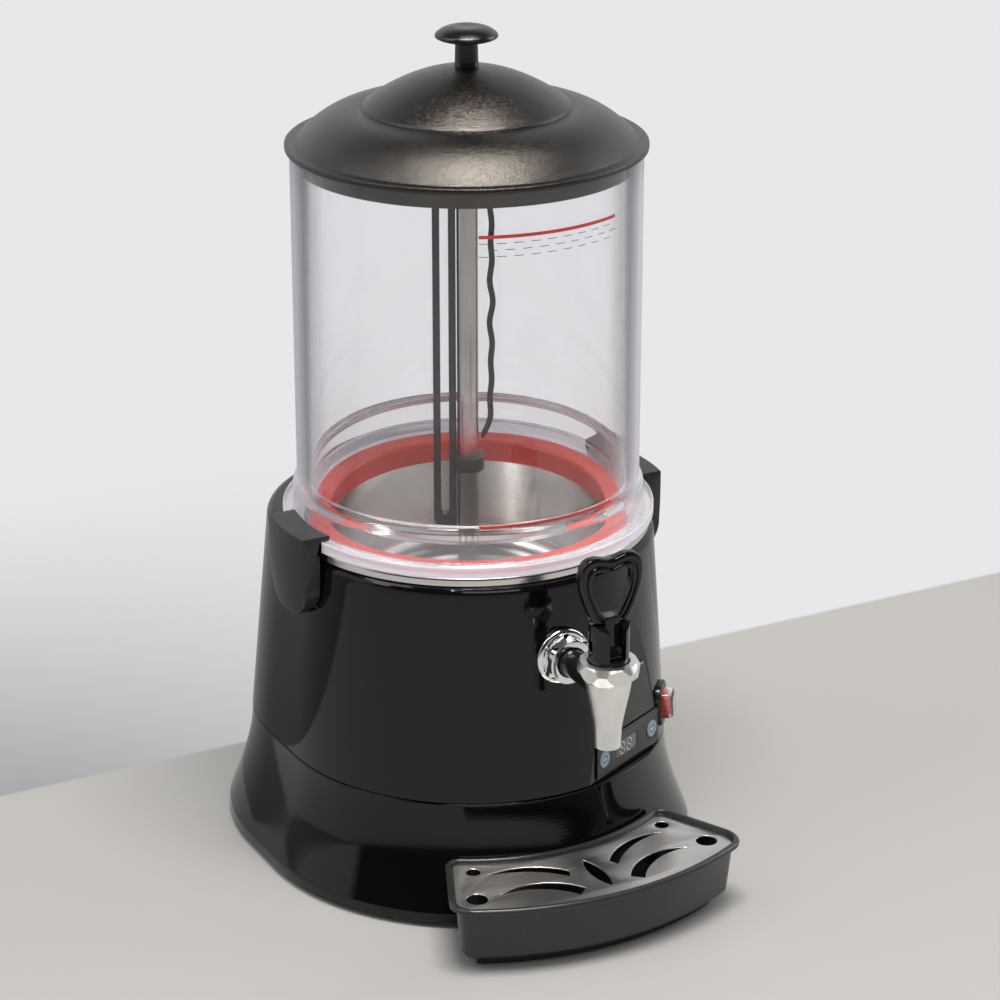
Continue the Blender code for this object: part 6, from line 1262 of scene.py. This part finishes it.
grid_steel = marked_metal("grid_steel", (0.86, 0.835, 0.805), (0.72, 0.70, 0.675), 0.33, spread=0.10,
                          depth=0.000004, marks=(30, 1900, 1900), anisotropic=0.5)
plate_low, plate_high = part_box("drip_grid")
grid_sheet, grid_inset = plate_high.z - plate_low.z, rim_width + FIT
grid_half_angle, grid_edge = radians(29), 0.0004
plate_edge = (tray_inner + grid_inset, tray_outer - grid_inset)


def on_grid(share, side=1):
    """A place on the grid from its shares: bearing over the half angle, and depth from the inner edge."""
    turn, radius = share[0] * grid_half_angle, plate_edge[0] + share[1] * (plate_edge[1] - plate_edge[0])
    return np.array([side * radius * np.sin(turn), -radius * np.cos(turn)])


def arc_by(first, middle, last, steps=28):
    """Points on the circle through three points, found from the crossing of two of its bisectors."""
    a, b, c = (np.asarray(p, float) for p in (first, middle, last))
    centre = np.linalg.solve(2 * np.array([b - a, c - a]), [b @ b - a @ a, c @ c - a @ a])
    turns = [np.arctan2(*(p - centre)[::-1]) for p in (a, b, c)]
    sweep = (turns[2] - turns[0]) % (2 * np.pi)
    if (turns[1] - turns[0]) % (2 * np.pi) > sweep:
        sweep -= 2 * np.pi
    turn = turns[0] + sweep * np.linspace(0, 1, steps)
    return centre + np.linalg.norm(a - centre) * np.stack([np.cos(turn), np.sin(turn)], axis=-1)


# Each crescent: its tip, its outer edge's middle, its blunt end's two corners and its inner edge's middle
CRESCENT_SHARES = (((0.81, 0.245), (0.50, 0.13), (0.175, 0.34), (0.20, 0.45), (0.46, 0.235)),
                   ((0.74, 0.655), (0.49, 0.49), (0.17, 0.735), (0.235, 0.84), (0.47, 0.61)))
ROUND_HOLES = (((0.92, 0.165), 0.0048), ((0.90, 0.735), 0.007))
LEAF_SHARES, leaf_share = ((0, 0.19), (0, 0.50), (0, 0.80)), 0.075
holes = []
for side in (-1, 1):
    for tip, outer_mid, end, inner_end, inner_mid in CRESCENT_SHARES:
        first = arc_by(on_grid(tip, side), on_grid(outer_mid, side), on_grid(end, side))
        second = arc_by(on_grid(inner_end, side), on_grid(inner_mid, side), on_grid(tip, side))
        holes.append(np.concatenate([first, second[:-1]]))
    holes += [round_outline(radius, on_grid(place, side)) for place, radius in ROUND_HOLES]
near_end, leaf_middle, far_end = (on_grid(place) for place in LEAF_SHARES)
bulge = np.array([leaf_share * (plate_edge[1] - plate_edge[0]), 0])
holes.append(np.concatenate([arc_by(near_end, leaf_middle + bulge, far_end),
                             arc_by(far_end, leaf_middle - bulge, near_end)[1:-1]]))
outline = tray_plan(grid_inset, grid_inset, 0)[:, :2] - np.array(MIDDLE)
grate = stamped("drip_grate", [outline, *holes], grid_sheet, grid_edge, grid_steel,
                Matrix.Translation((*MIDDLE, (plate_low.z + plate_high.z) / 2)))
fitted(grate, "drip_grid", "satin_steel", "drip_grid")

# Floor, light and camera
# A pale grey counter runs up to a white wall, both drawn on one flat sheet. The camera looks down from the
# front left, at the photograph's angle.

floor_grey, wall_white = (0.435, 0.429, 0.420, 1), (0.795, 0.805, 0.82, 1)
floor_material = bpy.data.materials.new("counter_and_wall")
floor_material.use_nodes = True
tree = floor_material.node_tree
place = node(tree, "ShaderNodeTexCoord").outputs["Object"]
# The wall starts this far behind the machine's middle, and is as bright as its colour where it is seen
wall_start, wall_edge, shade_right, shade_left, shade_end, floor_half = 0.2035, 0.004, 0.30, -0.25, 0.75, 6.0
depth = node(tree, "ShaderNodeSeparateXYZ", {0: place}).outputs["Y"]
wall_share = between(tree, depth, wall_start, wall_start + wall_edge)
cloud = noise(tree, place, 2.2, 3.0)
counter = blend_of(tree, between(tree, cloud, 0.3, 0.7, 0.0, 0.25), floor_grey, (0.39, 0.385, 0.375, 1))
shader = tree.nodes["Principled BSDF"]
tree.links.new(counter, shader.inputs["Base Color"])
shader.inputs["Roughness"].default_value = 0.6
path = node(tree, "ShaderNodeLightPath").outputs
seen = sum_of(tree, path["Is Camera Ray"], "MAXIMUM", path["Is Transmission Ray"])
seen = product(tree, sum_of(tree, seen, "MAXIMUM", path["Is Glossy Ray"]), wall_share)
# A gloss shows the lower wall darker than the camera does: painted shade on the wall's emitted light
mirrored = sum_of(tree, path["Is Glossy Ray"], "SUBTRACT", path["Is Transmission Ray"])
shade = between(tree, mirrored, 0.0, 1.0, 1.0, 0.55)
# A painted shadow darkens the foot of the wall on the machine's left, where the machine would shade it
beside = node(tree, "ShaderNodeSeparateXYZ", {0: place}).outputs["X"]
painted_wall_shadow = product(tree, between(tree, beside, shade_right, shade_left),
              between(tree, depth, shade_end, wall_start))
shade = product(tree, shade, between(tree, painted_wall_shadow, 0.0, 1.0, 1.0, 0.50))
lit_wall = node(tree, "ShaderNodeEmission", {"Color": wall_white, "Strength": shade}).outputs[0]
shown = node(tree, "ShaderNodeMixShader", {0: seen, 1: shader.outputs[0], 2: lit_wall}).outputs[0]
tree.links.new(shown, tree.nodes["Material Output"].inputs["Surface"])
floor_mesh = bpy.data.meshes.new("counter")
corners = np.array([(-1, -1, 0), (1, -1, 0), (1, 1, 0), (-1, 1, 0)]) * floor_half
floor_mesh.from_pydata(corners, [], [(0, 1, 2, 3)])
floor_mesh.materials.append(floor_material)
counter_sheet = bpy.data.objects.new("counter", floor_mesh)
bpy.context.scene.collection.objects.link(counter_sheet)
counter_sheet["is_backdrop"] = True

world = bpy.data.worlds.new("room")
bpy.context.scene.world = world
world.use_nodes = True
tree = world.node_tree
background = tree.nodes["Background"]
background.inputs["Color"].default_value = (0.97, 0.982, 1.0, 1)
path = node(tree, "ShaderNodeLightPath").outputs
seen = sum_of(tree, path["Is Camera Ray"], "MAXIMUM", path["Is Transmission Ray"])
# A gloss shows a pale wall that stands behind the machine up to a height, and a dim room everywhere else
wall_light, mirrored_light, room_light, even_light = 0.82, 0.66, 0.035, 0.34
way = node(tree, "ShaderNodeSeparateXYZ", {0: node(tree, "ShaderNodeTexCoord").outputs["Generated"]}).outputs
behind = product(tree, between(tree, way["Y"], -0.03, 0.05), between(tree, way["Z"], 0.72, 0.58))
mirrored = between(tree, behind, 0.0, 1.0, room_light, mirrored_light)
strength = node(tree, "ShaderNodeMix", {0: path["Is Glossy Ray"], 2: even_light, 3: mirrored}).outputs[0]
strength = node(tree, "ShaderNodeMix", {0: seen, 2: strength, 3: wall_light}).outputs[0]
tree.links.new(strength, background.inputs["Strength"])


# Each lamp: its place, its two sides, its power and its colour
LAMPS = {"overhead": ((-0.10, -0.45, 2.5), (1.1, 0.6), 58, (1.0, 0.955, 0.90)),
         "key": ((-0.4, -1.7, 2.3), (1.4, 1.0), 9, (1.0, 0.97, 0.94)),
         "window": ((-1.9, 0.3, 2.4), (1.2, 1.4), 15, (0.95, 0.97, 1.0)),
         "right": ((2.2, -0.4, 1.2), (0.8, 1.8), 14, (1, 1, 1))}
lamp_aim = Vector((0, 0, 0.3))
for name, (place, sides, power, tone) in LAMPS.items():
    lamp = bpy.data.lights.new(name, "AREA")
    lamp.shape = "RECTANGLE"
    lamp.size, lamp.size_y = sides
    lamp.energy = power
    lamp.color = tone
    made = bpy.data.objects.new(name, lamp)
    made.location = place
    made.rotation_euler = (lamp_aim - Vector(place)).to_track_quat("-Z", "Y").to_euler()
    bpy.context.scene.collection.objects.link(made)

camera = bpy.data.cameras.new("camera")
camera.lens, camera.sensor_width = 115.23, 36
seat = bpy.data.objects.new("camera", camera)
seat.location = (-0.9289, -1.77175, 1.0363)
seat.rotation_euler = (radians(68.485), 0, radians(-28.11))
bpy.context.scene.collection.objects.link(seat)
bpy.context.scene.camera = seat
bpy.context.scene.view_settings.view_transform = "Standard"

low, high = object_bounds()
